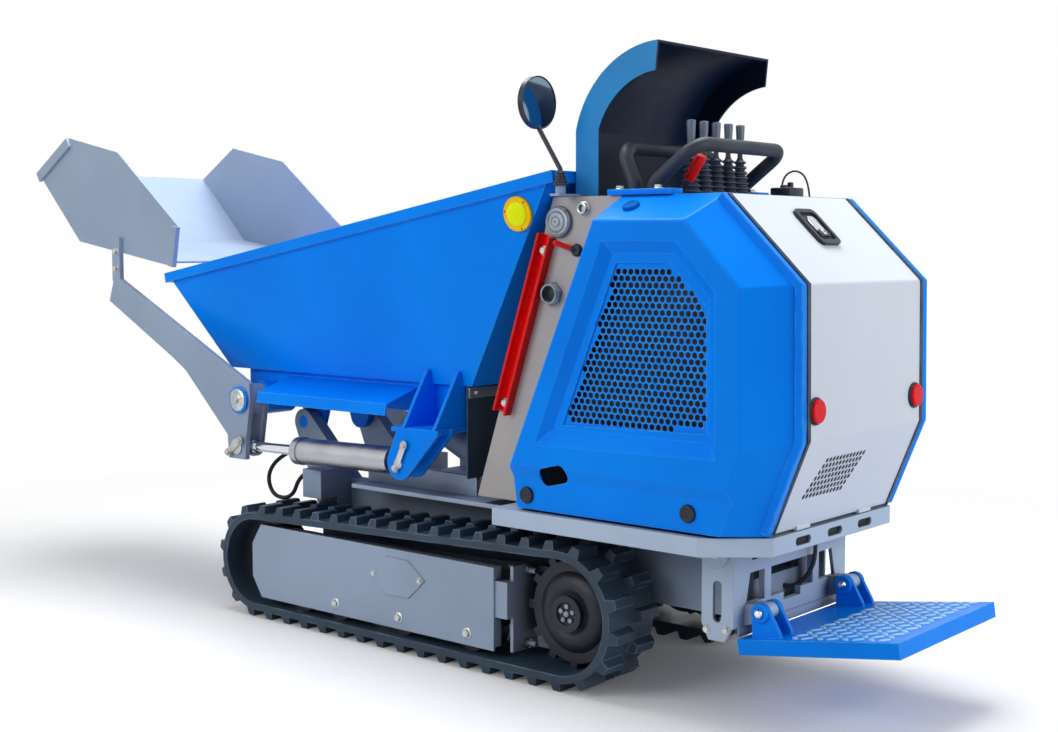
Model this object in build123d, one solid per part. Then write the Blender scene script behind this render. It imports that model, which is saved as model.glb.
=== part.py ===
"""Tracked site dumper with a front loading shovel, all lengths in millimetres.

X points forward, Y to the machine's left and Z up from the ground. Lengths along X are
taken from a datum beside the drive sprocket, and the finished machine is moved so that
the origin lies on the ground under the middle of its length.
"""

import os
from math import atan2, degrees, hypot, radians, sin

from build123d import *

# Clearances
RUN_GAP = 0.05
SEAT_GAP = 0.3
SIDE_GAP = 1.0

# Tracks
SPROCKET = (30, 188)
IDLER = (1192, 168)
LUG_HEIGHT = 22
BELT_THICK = 20
TRACK_INNER_Y = 215
TRACK_OUTER_Y = 395
LUG_COUNT = 42
LUG_LENGTH = 36
LUG_WIDTH = 84
LUG_ROOT = 4
LUG_TAPER = 14

# Track frame
FRAME_PLATE_Y = (245, 257)
GUARD_Y = (379, 385)
GUARD_FLANGE = 30
GUARD_REAR_X = 245
GUARD_FRONT_X = 1170
GUARD_NOSE = 40
GUARD_Z = (62, 280)
COVER_OUTLINE = [(701, 204), (637, 258), (554, 256), (490, 209), (551, 154), (642, 152)]
COVER_THICK = 4
BEAM_Z = (150, 245)
TENSIONER_X = (172, 262)
TENSIONER_Z = (75, 268)
TENSIONER_Y = 300
TENSIONER_RADIUS = 8
TENSIONER_PLATE = (204, 214)
ROLLER_RADIUS = 47
ROLLER_Y = (270, 368)
ROLLER_GROOVE = (306, 332)
ROLLER_GROOVE_DEPTH = 14
ROLLER_XS = (338, 592, 845, 1000)
IDLER_Y = (275, 335)
AXLE_RADIUS = 16
SPROCKET_Y = (285, 325)
SPROCKET_TEETH = 12
TOOTH_DEPTH = 16
TOOTH_WIDTH = 22
HUB_RADIUS = 108
HUB_EDGE_Y = 318
HUB_FACE = (64, 344)
HUB_RING = (46, 30)
HUB_RING_Y = (338, 356)
HUB_CENTRE_Y = 349
MOTOR_RADIUS = 88

# Chassis
RAIL_Y = (110, 150)
RAIL_Z = (200, 405)
RAIL_X = (-360, 1160)
CROSS_WIDTH = 90
CROSS_XS = (-360, 220, 860)
TRACK_ARM_XS = (220, 860)
TRACK_ARM_Z = (150, 240)
POST_FOOT = (1090, 330)
POST_FOOT_SIZE = 140
FRONT_BOX_X = (1030, 1110)
FRONT_BOX_Z = (356, 440)
FRONT_BOX_Y = 272
FRONT_BEAM_Z = (300, 360)
FRONT_BEAM_HALF = 205
TIP_LUG_RADIUS = 28
TIP_LUG_BACK = 135
TIP_PIN_RADIUS = 14
DECK_TOP = 439
DECK_THICK = 12
LEDGE_Y = 268
LEDGE_SIDE_X = (470, 900)
LEDGE_SIDE_Y = (190, 202)
LEDGE_SIDE_TOP = 472
LEDGE_TOP = 417
LEDGE_X = (240, 900)
SKIRT_DEPTH = 44
SKIRT_THICK = 8
SKIRT_SLOT = (70, 20)
SKIRT_SLOT_YS = (-150, 0, 150)
BODY_HALF = 396
DOOR_HALF = 285
BODY_FRONT_X = 240
CORNER_X = -388
TAIL_X = -520

# Rear frame
POST_PLATE_Y = (258, 268)
POST_OUTLINE = [(-315, 210), (-335, 170), (-380, 170), (-404, 215)]
POST_SLOT_AT = (-359, 265)
POST_SLOT = (100, 24)
POST_BOSS_AT = (-352, 384)
POST_BOSS_RADIUS = 40
POST_BOSS_THICK = 6
GUSSET_X = (-404, -394)
GUSSET_Y = (170, 225)
BEAM_X = (-404, -388)
UPPER_BEAM_Z = (328, 358)
LOWER_BEAM_Z = (205, 255)
BEAM_NOTCH = (60, 20)
INNER_POST_Y = (100, 130)

# Skip and its tipping hinge
SKIP_HINGE = (1245, 560)
SKIP_PIN_RADIUS = 20
SKIP_LUG_Y = (85, 105)
FLOOR_Z = 725
FLOOR_X = (443, 1466)
FLOOR_HALF = 250
RIM_REAR = (94, 1290)
RIM_FRONT = (1688, 1017)
RIM_HALF = 337
RIM_DEPTH = 30
RIM_WIDTH = 12
SKIP_WALL = 6
SKIP_RAIL_Y = (180, 230)
REFLECTOR = (45, 12)
REFLECTOR_UP = 0.83
REFLECTOR_ALONG = 0.04
SKIP_RAIL_Z = 640
SKIP_RAIL_X = (470, 1400)
SKIP_CROSS_XS = (700, 1170)
SKIP_CROSS_SIZE = (60, 30)
SKIP_LUG_FOOT = (180, 20)
BRACKET_X = (470, 640)
BRACKET_TOP = (600, 612)
BRACKET_RADIUS = 46
BRACKET_FOOT = 150
BRACKET_WEB_XS = (475, 590)
BRACKET_WEB = 10
BRACKET_WEB_TOP = (258, 764)
GUARD_RAIL_X = (660, 1205)
GUARD_RAIL = [(230, 712), (360, 672), (366, 640), (360, 640), (354, 667), (230, 705)]
TIP_SKIP_PIN = (970, 640)
TIP_CHASSIS_PIN = (400, 380)
TIP_BARREL_RADIUS = 40
TIP_ROD_RADIUS = 20
TIP_BARREL_START = 45
TIP_BARREL_END = 470
TIP_ROD_START = 70
TIP_EYE_HALF = 20
TIP_EYE_RADIUS = 26
TIP_PAD = 12
TIP_PAD_HALF = 60
BOSS_LIP = 5
PIN_HEAD = 9

# Loader arms, shovel and their cylinders
ARM_PIVOT = (1283, 643)
ARM_TAIL = (1300, 500)
ARM_THICK = 16
SHOVEL_HALF = 349
ARM_Y = (SHOVEL_HALF, SHOVEL_HALF + ARM_THICK)
ARM_INNER_Y = (291, 307)
ARM_HUB_RADIUS = 45
ARM_PIN_RADIUS = 25
ARM_TIP_X = (1890, 1930)
ARM_TIP_Z = (990, 1130)
ARM_OUTLINE = [
    (1898, 1000),
    (1922, 1000),
    (1949, 925),
    (1617, 757),
    (1547, 717),
    (1345, 533),
    (1340, 463),
    (1262, 463),
    (1258, 577),
    (1238, 640),
    (1240, 694),
]
TAIL_RADIUS = 36
CYLINDER_PIN = (610, 513)
CYLINDER_Y = 328
BARREL_RADIUS = 38
BARREL_START = 54
BARREL_BASE = 24
BARREL_END = 450
GLAND_LENGTH = 24
ROD_RADIUS = 15
ROD_START = 212
EYE_HALF = 20
EYE_RADIUS = 26
CHEEK_THICK = 12
CYLINDER_PIN_RADIUS = 15
SHOVEL_PLATE = 6
SHEET_REAR_X = 1690
LIP_BAR = (34, 10)
HEEL_BAR = (24, 10)
SHOVEL_OUTLINE = [(2191, 1465), (1912, 1406), (1593, 1162), (1616, 1037), (2138, 1119), (2378, 1353)]

# Body
BODY_TOP = 1225
TANK_HALF = DOOR_HALF
TANK_BOTTOM_X = (180, 390)
TANK_TOP_X = (-95, 130)
CAP_AT = (108, 1163)
CAP_RADIUS = 40
CAP_REACH = 22
NECK_AT = (130, 982)
NECK_RADIUS = 27
NECK_WALL = 5
PANEL_THICK = 4
PANEL_FOLD = 9
FOLD_SLOPE = 0.3
PANEL_INNER = [(182, 439), (196, 552), (-85, 1225), (-383, 1225), (-597, 1017), (-602, 666), (-513, 439)]
PANEL_OUTER = [(168, 446), (184, 552), (-79, 1164), (-342, 1162), (-494, 1009), (-498, 650), (-421, 446)]
BAND_Z = (524, 556)
BAND_DEPTH = 18
RECESS = [(103, 608), (-107, 1117), (-322, 1115), (-431, 998), (-434, 620)]
RECESS_FLOOR = [(55, 653), (-125, 1085), (-300, 1085), (-398, 985), (-400, 655)]
RECESS_DEPTH = 24
HAND_HOLE_AT = (46, 538)
HAND_HOLE = (94, 46, -14)
GRILLE_OUTLINE = [(28, 664), (-134, 1063), (-283, 1064), (-390, 965), (-393, 676)]
GRILLE_LAP = 12
GRILLE_THICK = 3
HEX_PITCH = 34
HEX_ACROSS = 27
DOOR_THICK = 6
DOOR_FOLD = 14
DOOR_GAP = 2
DOOR_HINGE = (-514, 446)
DOOR_OUTLINE = [(-513, 446), (-602, 666), (-597, 1017), (-386, 1223)]
DOOR_HINGE_YS = (-180, 120)
DOOR_HINGE_LENGTH = 60
DOOR_GRILLE = [(227, 518), (160, 625), (-57, 625), (5, 518)]
DOOR_HEX_PITCH = 16
DOOR_HEX_ACROSS = 12
LATCH_AT = (20, 0.62)
LATCH_SIZE = (96, 118)
LATCH_CORNER = 18
LATCH_FRAME = 12
LATCH_THICK = 9
LATCH_FLOOR = 3
LATCH_GRIP = (46, 22)
LAMP_YS = (247, -240)
LAMP_SHARE = 0.19
LAMP_RADIUS = 28
LAMP_DEPTH = 14
PROP_ENDS = [(294, 670), (142, 1129)]
PROP_WIDTH = 44
PROP_DEPTH = 25
PROP_WALL = 6
ENGINE_X = (-420, -60)
ENGINE_HALF = 200
ENGINE_TOP = 900

# Controls
CONSOLE_THICK = 6
CONSOLE_REAR = -376
COWL_HALF = 250
COWL_FRONT_X = 86
COWL_SPRING_Z = 1390
COWL_MID = (11, 1522)
COWL_TIP = (-164, 1594)
COWL_THICK = 6
COWL_FLANGE = 72
LEVER_X = -200
LEVER_YS = (160, 105, 50, -5, -60)
LEVER_TOP = 1408
LEVER_RADIUS = 11
BELLOWS_RADIUS = 26
BELLOWS_HEIGHT = 95
BELLOWS_RINGS = 5
BELLOWS_TAPER = 2
BELLOWS_FOLD = 8
STEM_RADIUS = 8
GRIP_LENGTH = 50
BAR_RADIUS = 17
BAR_LEFT_Y = 270
BAR_RIGHT_Y = -118
BAR_BASE_X = -142
BAR_TOP_Z = 1342
BAR_UPRIGHT = 16
BAR_REACHES = (69, -149)
BAR_FEET = (29, -29)
BAR_BENDS = [20, 45, 45, 20]
FOOT_PLATE = 12
FOOT_PLATE_HALVES = (92, 25)
FOOT_PLATE_LAP = 40

# Mirrors
MIRROR_X = 70
MIRROR_Y = 330
MIRROR_HEAD = (140, 1458)
MIRROR_RADIUS = 65
MIRROR_THICK = 14
STALK_RADIUS = 6
STALK_KNEE_Z = 1290

# Step platform
STEP_HINGE = (-455, 245)
STEP_TILT = 8.6
STEP_HALF = 252
STEP_FRONT = 59
STEP_REAR = -357
STEP_DROP = 58
STEP_LIP = 37
STEP_PLATE = 5
EAR_Y = 200
EAR_HALF = 20
EAR_THICK = 10
EAR_RADIUS = 24
STEP_PIN_RADIUS = 9
STEP_PIN_END = 12


def outline(points):
    """A face bounded by straight runs between the points."""
    return make_face(Polyline(*points, close=True))


def across(profile, y0, y1):
    """An (x, z) profile carried across the machine from y0 to y1."""
    return extrude(Plane.XZ.offset(-max(y0, y1)) * profile, amount=abs(y1 - y0))


def rod_across(centre, radius, y0, y1):
    """A round bar along Y."""
    return across(Pos(*centre) * Circle(radius), y0, y1)


def block(x, y, z):
    """A box between the two values of each axis."""
    middle = [(low + high) / 2 for low, high in (x, y, z)]
    return Pos(*middle) * Box(x[1] - x[0], y[1] - y[0], z[1] - z[0])


def other_side(shape):
    """The same piece on the machine's right."""
    return mirror(shape, about=Plane.XZ)


def pair(shape):
    return [shape, other_side(shape)]


def turned(shape, centre, angle):
    """Turn about a cross axis so that +X swings towards +Z by the angle."""
    x, z = centre
    return Pos(x, 0, z) * Rot(0, -angle, 0) * shape


def angle_and_length(start, end):
    run = end[0] - start[0]
    rise = end[1] - start[1]
    return degrees(atan2(rise, run)), hypot(run, rise)


# Tracks


def belt_outline(inset):
    rear = Pos(*SPROCKET) * Circle(SPROCKET[1] - LUG_HEIGHT - inset)
    front = Pos(*IDLER) * Circle(IDLER[1] - LUG_HEIGHT - inset)
    return make_hull(rear.edges() + front.edges())


def track():
    """A rubber loop with two staggered rows of tapered lugs."""
    belt = across(belt_outline(0) - belt_outline(BELT_THICK), TRACK_INNER_Y, TRACK_OUTER_Y)
    path = belt_outline(0).wires()[0]
    middle = Vector((SPROCKET[0] + IDLER[0]) / 2, (SPROCKET[1] + IDLER[1]) / 2)
    half = LUG_WIDTH / 2
    lugs = []
    for row, y in enumerate((TRACK_INNER_Y + half, TRACK_OUTER_Y - half)):
        for i in range(LUG_COUNT):
            place = ((i + row / 2) / LUG_COUNT) % 1
            foot = path.position_at(place)
            along = path.tangent_at(place)
            out = Vector(along.Y, -along.X)
            if out.dot(foot - middle) < 0:
                out = -out
            root = foot - out * LUG_ROOT
            seat = Plane(origin=(root.X, y, root.Y), x_dir=(along.X, 0, along.Y), z_dir=(out.X, 0, out.Y))
            face = seat * Rectangle(LUG_LENGTH, LUG_WIDTH)
            lugs.append(extrude(face, amount=LUG_ROOT + LUG_HEIGHT, taper=LUG_TAPER))
    return belt + lugs


def guard_outline():
    rear, front, nose = GUARD_REAR_X, GUARD_FRONT_X, GUARD_FRONT_X + GUARD_NOSE
    low, high = GUARD_Z
    rise = 1.5 * GUARD_NOSE
    nose_face = [(nose, low + rise), (nose, high - rise)]
    return outline([(rear, low), (front, low), *nose_face, (front, high), (rear, high)])


def track_frame():
    """The inner plate, the beam over the rollers, the flanged outer guard and the track's tensioner."""
    plate = make_hull(
        (Pos(*SPROCKET) * Circle(MOTOR_RADIUS)).edges() + (Pos(*IDLER) * Circle(BEAM_Z[0] / 2)).edges()
    )
    skin = GUARD_Y[1] - GUARD_Y[0]
    guard = across(guard_outline(), GUARD_Y[1] - GUARD_FLANGE, GUARD_Y[1])
    inside = offset(guard_outline(), -skin, kind=Kind.INTERSECTION)
    foot = Pos((GUARD_REAR_X + GUARD_FRONT_X) / 2, GUARD_Z[0]) * Rectangle(
        GUARD_FRONT_X + 2 * GUARD_NOSE - GUARD_REAR_X - 2 * skin, 3 * skin
    )
    guard -= across(inside + foot, GUARD_Y[1] - GUARD_FLANGE - 1, GUARD_Y[0])
    cover = across(outline(COVER_OUTLINE), GUARD_Y[1], GUARD_Y[1] + COVER_THICK)
    beam_front = IDLER[0] - IDLER[1] + LUG_HEIGHT
    beam = block((TENSIONER_PLATE[0], beam_front), (FRAME_PLATE_Y[1], GUARD_Y[0]), BEAM_Z)
    reach = 2 * TENSIONER_RADIUS
    beam += block(
        TENSIONER_PLATE,
        (FRAME_PLATE_Y[1], GUARD_Y[1] - GUARD_FLANGE),
        (TENSIONER_Z[0] - reach, TENSIONER_Z[1] + reach),
    )
    for z in TENSIONER_Z:
        stud = along_bar(*TENSIONER_X, TENSIONER_RADIUS)
        beam += Pos(0, TENSIONER_Y, z) * stud
    return across(plate, *FRAME_PLATE_Y) + guard + cover + beam


def about_axle(profile, centre):
    """A (radius, y) profile turned about the cross axis through the centre."""
    return Pos(centre[0], 0, centre[1]) * revolve(profile, Axis.Y)


def sprocket():
    """Drive wheel with its toothed ring, dished hub and motor drum."""
    ring_radius = SPROCKET[1] - LUG_HEIGHT - BELT_THICK - SEAT_GAP
    tooth = Pos(ring_radius - TOOTH_DEPTH / 2, 0) * Rectangle(TOOTH_DEPTH + 2, TOOTH_WIDTH)
    teeth = [Rot(0, 0, 360 / SPROCKET_TEETH * i) * tooth for i in range(SPROCKET_TEETH)]
    ring = (Circle(ring_radius - TOOTH_DEPTH) + teeth) & Circle(ring_radius)
    toothed = across(Pos(*SPROCKET) * ring, *SPROCKET_Y)
    back = FRAME_PLATE_Y[1]
    bulge = ((HUB_RADIUS + HUB_FACE[0]) / 2 + 4, (HUB_EDGE_Y + HUB_FACE[1]) / 2 + 6)
    dish = [
        Line((0, back), (HUB_RADIUS, back)),
        Line((HUB_RADIUS, back), (HUB_RADIUS, HUB_EDGE_Y)),
        ThreePointArc((HUB_RADIUS, HUB_EDGE_Y), bulge, HUB_FACE),
        Polyline(
            HUB_FACE,
            (HUB_RING[0], HUB_RING_Y[0]),
            (HUB_RING[0], HUB_RING_Y[1]),
            (HUB_RING[1], HUB_RING_Y[1]),
            (HUB_RING[1], HUB_CENTRE_Y),
            (0, HUB_CENTRE_Y),
            (0, back),
        ),
    ]
    hub = about_axle(make_face(dish), SPROCKET)
    motor = rod_across(SPROCKET, MOTOR_RADIUS, RAIL_Y[1] + SIDE_GAP, FRAME_PLATE_Y[0])
    return [toothed + hub, motor]


def running_wheels():
    """The front idler and the grooved lower rollers, on axles between the frame's plates."""
    idler_radius = IDLER[1] - LUG_HEIGHT - BELT_THICK - SEAT_GAP
    axle = (FRAME_PLATE_Y[1], GUARD_Y[0])
    idler = rod_across(IDLER, idler_radius, *IDLER_Y)
    wheels = [idler + rod_across(IDLER, AXLE_RADIUS, axle[0], GUARD_Y[1] - GUARD_FLANGE)]
    core = ROLLER_RADIUS - ROLLER_GROOVE_DEPTH
    for x in ROLLER_XS:
        centre = (x, LUG_HEIGHT + BELT_THICK + SEAT_GAP + ROLLER_RADIUS)
        roller = rod_across(centre, core, *ROLLER_Y) + rod_across(centre, AXLE_RADIUS, *axle)
        roller += rod_across(centre, ROLLER_RADIUS, ROLLER_Y[0], ROLLER_GROOVE[0])
        roller += rod_across(centre, ROLLER_RADIUS, ROLLER_GROOVE[1], ROLLER_Y[1])
        wheels.append(roller)
    return wheels


# Chassis


def tip_cheek(pin, foot):
    """One side of the tipping cylinder's clevis, from its pin to a foot on the frame."""
    inner = TIP_EYE_HALF + SIDE_GAP
    face = make_hull((Pos(*pin) * Circle(TIP_LUG_RADIUS)).edges() + foot.edges())
    return across(face, inner, inner + CHEEK_THICK)


def chassis_frame():
    """Two rails with cross members, the arms to the track frames and the skip's hinge posts."""
    rail = block(RAIL_X, RAIL_Y, RAIL_Z)
    post = make_hull(
        (Pos(*SKIP_HINGE) * Circle(2 * SKIP_PIN_RADIUS)).edges()
        + (Pos(*POST_FOOT) * Rectangle(POST_FOOT_SIZE, POST_FOOT_SIZE)).edges()
    )
    rail += across(post, *RAIL_Y)
    rail += block(FRONT_BOX_X, (RAIL_Y[1], FRONT_BOX_Y), FRONT_BOX_Z)
    for x in TRACK_ARM_XS:
        rail += block((x, x + CROSS_WIDTH), (RAIL_Y[1], FRAME_PLATE_Y[0]), TRACK_ARM_Z)
    rail -= rod_across(SKIP_HINGE, SKIP_PIN_RADIUS + RUN_GAP, RAIL_Y[0] - 1, RAIL_Y[1] + 1)
    frame = rail + other_side(rail)
    for x in CROSS_XS:
        frame += block((x, x + CROSS_WIDTH), (-RAIL_Y[0], RAIL_Y[0]), (RAIL_Z[0], RAIL_Z[0] + CROSS_WIDTH))
    frame += block(FRONT_BOX_X, (-FRONT_BEAM_HALF, FRONT_BEAM_HALF), FRONT_BEAM_Z)
    foot_x = TIP_CHASSIS_PIN[0] - TIP_LUG_BACK
    foot = Pos(foot_x, RAIL_Z[0] + CROSS_WIDTH / 2) * Rectangle(CROSS_WIDTH, CROSS_WIDTH)
    cheek = tip_cheek(TIP_CHASSIS_PIN, foot)
    inner = TIP_EYE_HALF + SIDE_GAP
    return frame + pair(cheek) + rod_across(TIP_CHASSIS_PIN, TIP_PIN_RADIUS, -inner - 1, inner + 1)


def deck_plan():
    return [(BODY_FRONT_X, BODY_HALF), (CORNER_X, BODY_HALF), (TAIL_X, DOOR_HALF)]


def deck():
    """The floor under the body with its skirt, and the ledges over the tracks."""
    half = deck_plan()
    plan = outline(half + [(x, -y) for x, y in reversed(half)])
    inner = offset(plan, -SKIRT_THICK, kind=Kind.INTERSECTION)
    bottom = DECK_TOP - SKIRT_DEPTH
    floor = Pos(0, 0, DECK_TOP - DECK_THICK) * extrude(plan, amount=DECK_THICK)
    skirt = Pos(0, 0, bottom) * extrude(plan - inner, amount=SKIRT_DEPTH)
    front = (BODY_FRONT_X - SKIRT_THICK, BODY_FRONT_X)
    rail_notch = block(front, (-RAIL_Y[1], RAIL_Y[1]), (bottom, RAIL_Z[1]))
    body = floor + skirt - rail_notch
    for y in SKIRT_SLOT_YS:
        slot = Plane.YZ.offset(TAIL_X - 1) * Pos(y, bottom + SKIRT_SLOT[1]) * SlotOverall(*SKIRT_SLOT)
        body -= extrude(slot, amount=SKIRT_THICK + 2)
    spacer = block((RAIL_X[0], front[0]), RAIL_Y, (RAIL_Z[1], DECK_TOP - DECK_THICK))
    body += pair(spacer)
    ledge = block(LEDGE_X, (RAIL_Y[0], LEDGE_Y), (RAIL_Z[1], LEDGE_TOP))
    ledge += block(LEDGE_SIDE_X, LEDGE_SIDE_Y, (LEDGE_TOP, LEDGE_SIDE_TOP))
    return body + ledge + other_side(ledge)


def rear_frame():
    """Slotted posts, gussets and cross beams that carry the step."""
    top = DECK_TOP - DECK_THICK
    post = outline([(POST_OUTLINE[0][0], top), *POST_OUTLINE, (POST_OUTLINE[-1][0], top)])
    post -= Pos(*POST_SLOT_AT) * SlotOverall(*POST_SLOT, rotation=90)
    side = across(post, *POST_PLATE_Y)
    side += rod_across(POST_BOSS_AT, POST_BOSS_RADIUS, POST_PLATE_Y[1], POST_PLATE_Y[1] + POST_BOSS_THICK)
    post_y, foot_z = POST_PLATE_Y[1], LOWER_BEAM_Z[0]
    gusset = outline([(post_y, top), (GUSSET_Y[0], top), (GUSSET_Y[1], foot_z), (post_y, foot_z)])
    side += extrude(Plane.YZ.offset(GUSSET_X[0]) * gusset, amount=GUSSET_X[1] - GUSSET_X[0])
    depth, height = BEAM_X[1] - BEAM_X[0], LOWER_BEAM_Z[1] - LOWER_BEAM_Z[0]
    root = Pos(sum(BEAM_X) / 2, sum(LOWER_BEAM_Z) / 2) * Rectangle(depth, height)
    tongue = make_hull((Pos(*STEP_HINGE) * Circle(EAR_RADIUS - 4)).edges() + root.edges())
    side += across(tongue, EAR_Y - EAR_HALF + SIDE_GAP, EAR_Y + EAR_HALF - SIDE_GAP)
    pin_reach = EAR_HALF + EAR_THICK + STEP_PIN_END
    side += rod_across(STEP_HINGE, STEP_PIN_RADIUS, EAR_Y - pin_reach, EAR_Y + pin_reach)
    for z in (LOWER_BEAM_Z, UPPER_BEAM_Z):
        side += block(BEAM_X, (0, POST_PLATE_Y[0]), z)
    notch_y = INNER_POST_Y[0] - BEAM_NOTCH[0]
    notch_z = (LOWER_BEAM_Z[1] - BEAM_NOTCH[1], LOWER_BEAM_Z[1] + 1)
    side -= block((BEAM_X[0] - 1, BEAM_X[1] + 1), (0, notch_y), notch_z)
    side += block(BEAM_X, INNER_POST_Y, (LOWER_BEAM_Z[1], top))
    return side + other_side(side)


# Body


def tank():
    return across(
        outline(
            [
                (TANK_BOTTOM_X[1], DECK_TOP),
                (TANK_BOTTOM_X[0], DECK_TOP),
                (TANK_TOP_X[0], BODY_TOP),
                (TANK_TOP_X[1], BODY_TOP),
            ]
        ),
        -TANK_HALF,
        TANK_HALF,
    )


def tank_fittings():
    """Stepped filler cap, and the open filler neck below it, on the tank's left face."""
    cap = rod_across(CAP_AT, CAP_RADIUS, TANK_HALF, TANK_HALF + CAP_REACH / 2)
    cap += rod_across(CAP_AT, 0.75 * CAP_RADIUS, TANK_HALF, TANK_HALF + CAP_REACH)
    neck = rod_across(NECK_AT, NECK_RADIUS, TANK_HALF, TANK_HALF + CAP_REACH)
    neck += across(Pos(*NECK_AT) * RegularPolygon(NECK_RADIUS + 4, 6), TANK_HALF, TANK_HALF + CAP_REACH / 3)
    neck -= rod_across(NECK_AT, NECK_RADIUS - NECK_WALL, TANK_HALF + NECK_WALL, TANK_HALF + CAP_REACH + 1)
    return [cap, neck]


def panel_section(points, y, inset):
    face = outline(points)
    if inset:
        face = offset(face, -inset, kind=Kind.INTERSECTION)
    return Plane.XZ.offset(-y) * face


def panel_recess(grow):
    """The pocket round the grille, grown for the wall behind it."""
    mouth = offset(outline(RECESS), grow, kind=Kind.INTERSECTION)
    floor = offset(outline(RECESS_FLOOR), grow, kind=Kind.INTERSECTION)
    bottom = BODY_HALF - RECESS_DEPTH - grow
    return loft([Plane.XZ.offset(-bottom) * floor, Plane.XZ.offset(-BODY_HALF - 1) * mouth], ruled=True)


def panel_band(grow):
    """The step-back along the panel's foot, grown for the wall behind it."""
    y = BODY_HALF - BAND_DEPTH - grow
    low, high = BAND_Z
    foot = DECK_TOP - 1
    out = BODY_HALF + 1
    face = outline([(out, high + grow), (BODY_HALF, high + grow), (y, low + grow), (y, foot), (out, foot)])
    start = min(x for x, z in PANEL_INNER)
    return extrude(Plane.YZ.offset(start) * face, amount=max(x for x, z in PANEL_INNER) - start)


def side_panel():
    """The folded engine cover, open to the inside, with a recess for its grille."""
    outer = loft(
        [panel_section(PANEL_INNER, DOOR_HALF, 0), panel_section(PANEL_OUTER, BODY_HALF, 0)],
        ruled=True,
    )
    inner = loft(
        [
            panel_section(PANEL_INNER, DOOR_HALF - 1, PANEL_THICK),
            panel_section(PANEL_OUTER, BODY_HALF - PANEL_THICK, PANEL_THICK),
        ],
        ruled=True,
    )
    face = outer.faces().sort_by(Axis.Y)[-1]
    folds = face.edges() + [e for e in outer.edges() if abs(e.tangent_at(0).Y) > FOLD_SLOPE]
    outer = fillet(folds, PANEL_FOLD) - panel_recess(0) - panel_band(0)
    skin = outer - (inner - panel_recess(PANEL_THICK) - panel_band(PANEL_THICK))
    grille_hole = across(outline(GRILLE_OUTLINE), DOOR_HALF, BODY_HALF)
    length, width, tilt = HAND_HOLE
    hand_hole = Pos(*HAND_HOLE_AT) * SlotOverall(length, width, rotation=tilt)
    return skin - grille_hole - across(hand_hole, DOOR_HALF, BODY_HALF + 1)


def hex_holes(area, pitch, width):
    """Staggered rows of hexagons inside an area."""
    clear = offset(area, -width / 2 - 2, kind=Kind.INTERSECTION)
    box = clear.bounding_box()
    rise = pitch * sin(radians(60))
    rows = int((box.max.Y - box.min.Y) / rise) + 1
    columns = int((box.max.X - box.min.X) / pitch) + 1
    holes = []
    for row in range(rows):
        for column in range(columns):
            x = box.min.X + (column + (row % 2) / 2) * pitch
            z = box.min.Y + row * rise
            if clear.face().is_inside((x, z, 0)):
                holes.append(Pos(x, z) * RegularPolygon(width / 2, 6, major_radius=False, rotation=30))
    return holes


def grille():
    """A perforated sheet behind the panel's opening."""
    face = offset(outline(GRILLE_OUTLINE), GRILLE_LAP, kind=Kind.INTERSECTION)
    holes = hex_holes(outline(GRILLE_OUTLINE), HEX_PITCH, HEX_ACROSS)
    y1 = BODY_HALF - RECESS_DEPTH - PANEL_THICK
    return across(face - holes, y1 - GRILLE_THICK, y1)


def console():
    """The top plate behind the cowl."""
    height = (BODY_TOP - CONSOLE_THICK, BODY_TOP)
    return block((CONSOLE_REAR, TANK_TOP_X[0]), (-DOOR_HALF, DOOR_HALF), height)


def levers():
    """Five control levers, each in a ribbed rubber boot."""
    step = BELLOWS_HEIGHT / BELLOWS_RINGS
    profile = [(0, 0)]
    for i in range(BELLOWS_RINGS):
        wide = BELLOWS_RADIUS - i * BELLOWS_TAPER
        profile += [(wide, i * step + 1), (wide - BELLOWS_FOLD, (i + 1) * step)]
    top = LEVER_TOP - BODY_TOP
    grip = top - GRIP_LENGTH
    profile += [(STEM_RADIUS, BELLOWS_HEIGHT), (STEM_RADIUS, grip), (LEVER_RADIUS, grip + 2)]
    profile += [(LEVER_RADIUS, top), (0, top)]
    one = revolve(Plane.XZ * outline(profile), Axis.Z)
    return [Pos(LEVER_X, y, BODY_TOP) * one for y in LEVER_YS]


def handlebars():
    """Two grab loops leaning apart from one foot plate."""
    loops = []
    for reach, foot in zip(BAR_REACHES, BAR_FEET):
        foot_x = BAR_BASE_X + foot
        foot_z = BODY_TOP + FOOT_PLATE
        points = [
            (foot_x, BAR_LEFT_Y, foot_z),
            (foot_x, BAR_LEFT_Y, foot_z + BAR_UPRIGHT),
            (BAR_BASE_X + reach, BAR_LEFT_Y, BAR_TOP_Z),
            (BAR_BASE_X + reach, BAR_RIGHT_Y, BAR_TOP_Z),
            (foot_x, BAR_RIGHT_Y, foot_z + BAR_UPRIGHT),
            (foot_x, BAR_RIGHT_Y, foot_z),
        ]
        path = FilletPolyline(*points, radius=BAR_BENDS)
        loops.append(sweep((path ^ 0) * Circle(BAR_RADIUS), path=path))
    plates = []
    half_length, half_width = FOOT_PLATE_HALVES
    length = (BAR_BASE_X - half_length, BAR_BASE_X + half_length)
    left = (DOOR_HALF - FOOT_PLATE_LAP, BAR_LEFT_Y + half_width)
    for y in (left, (BAR_RIGHT_Y - half_width, BAR_RIGHT_Y + half_width)):
        plates.append(block(length, y, (BODY_TOP, BODY_TOP + FOOT_PLATE)))
    return loops[0] + loops[1] + plates


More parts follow.
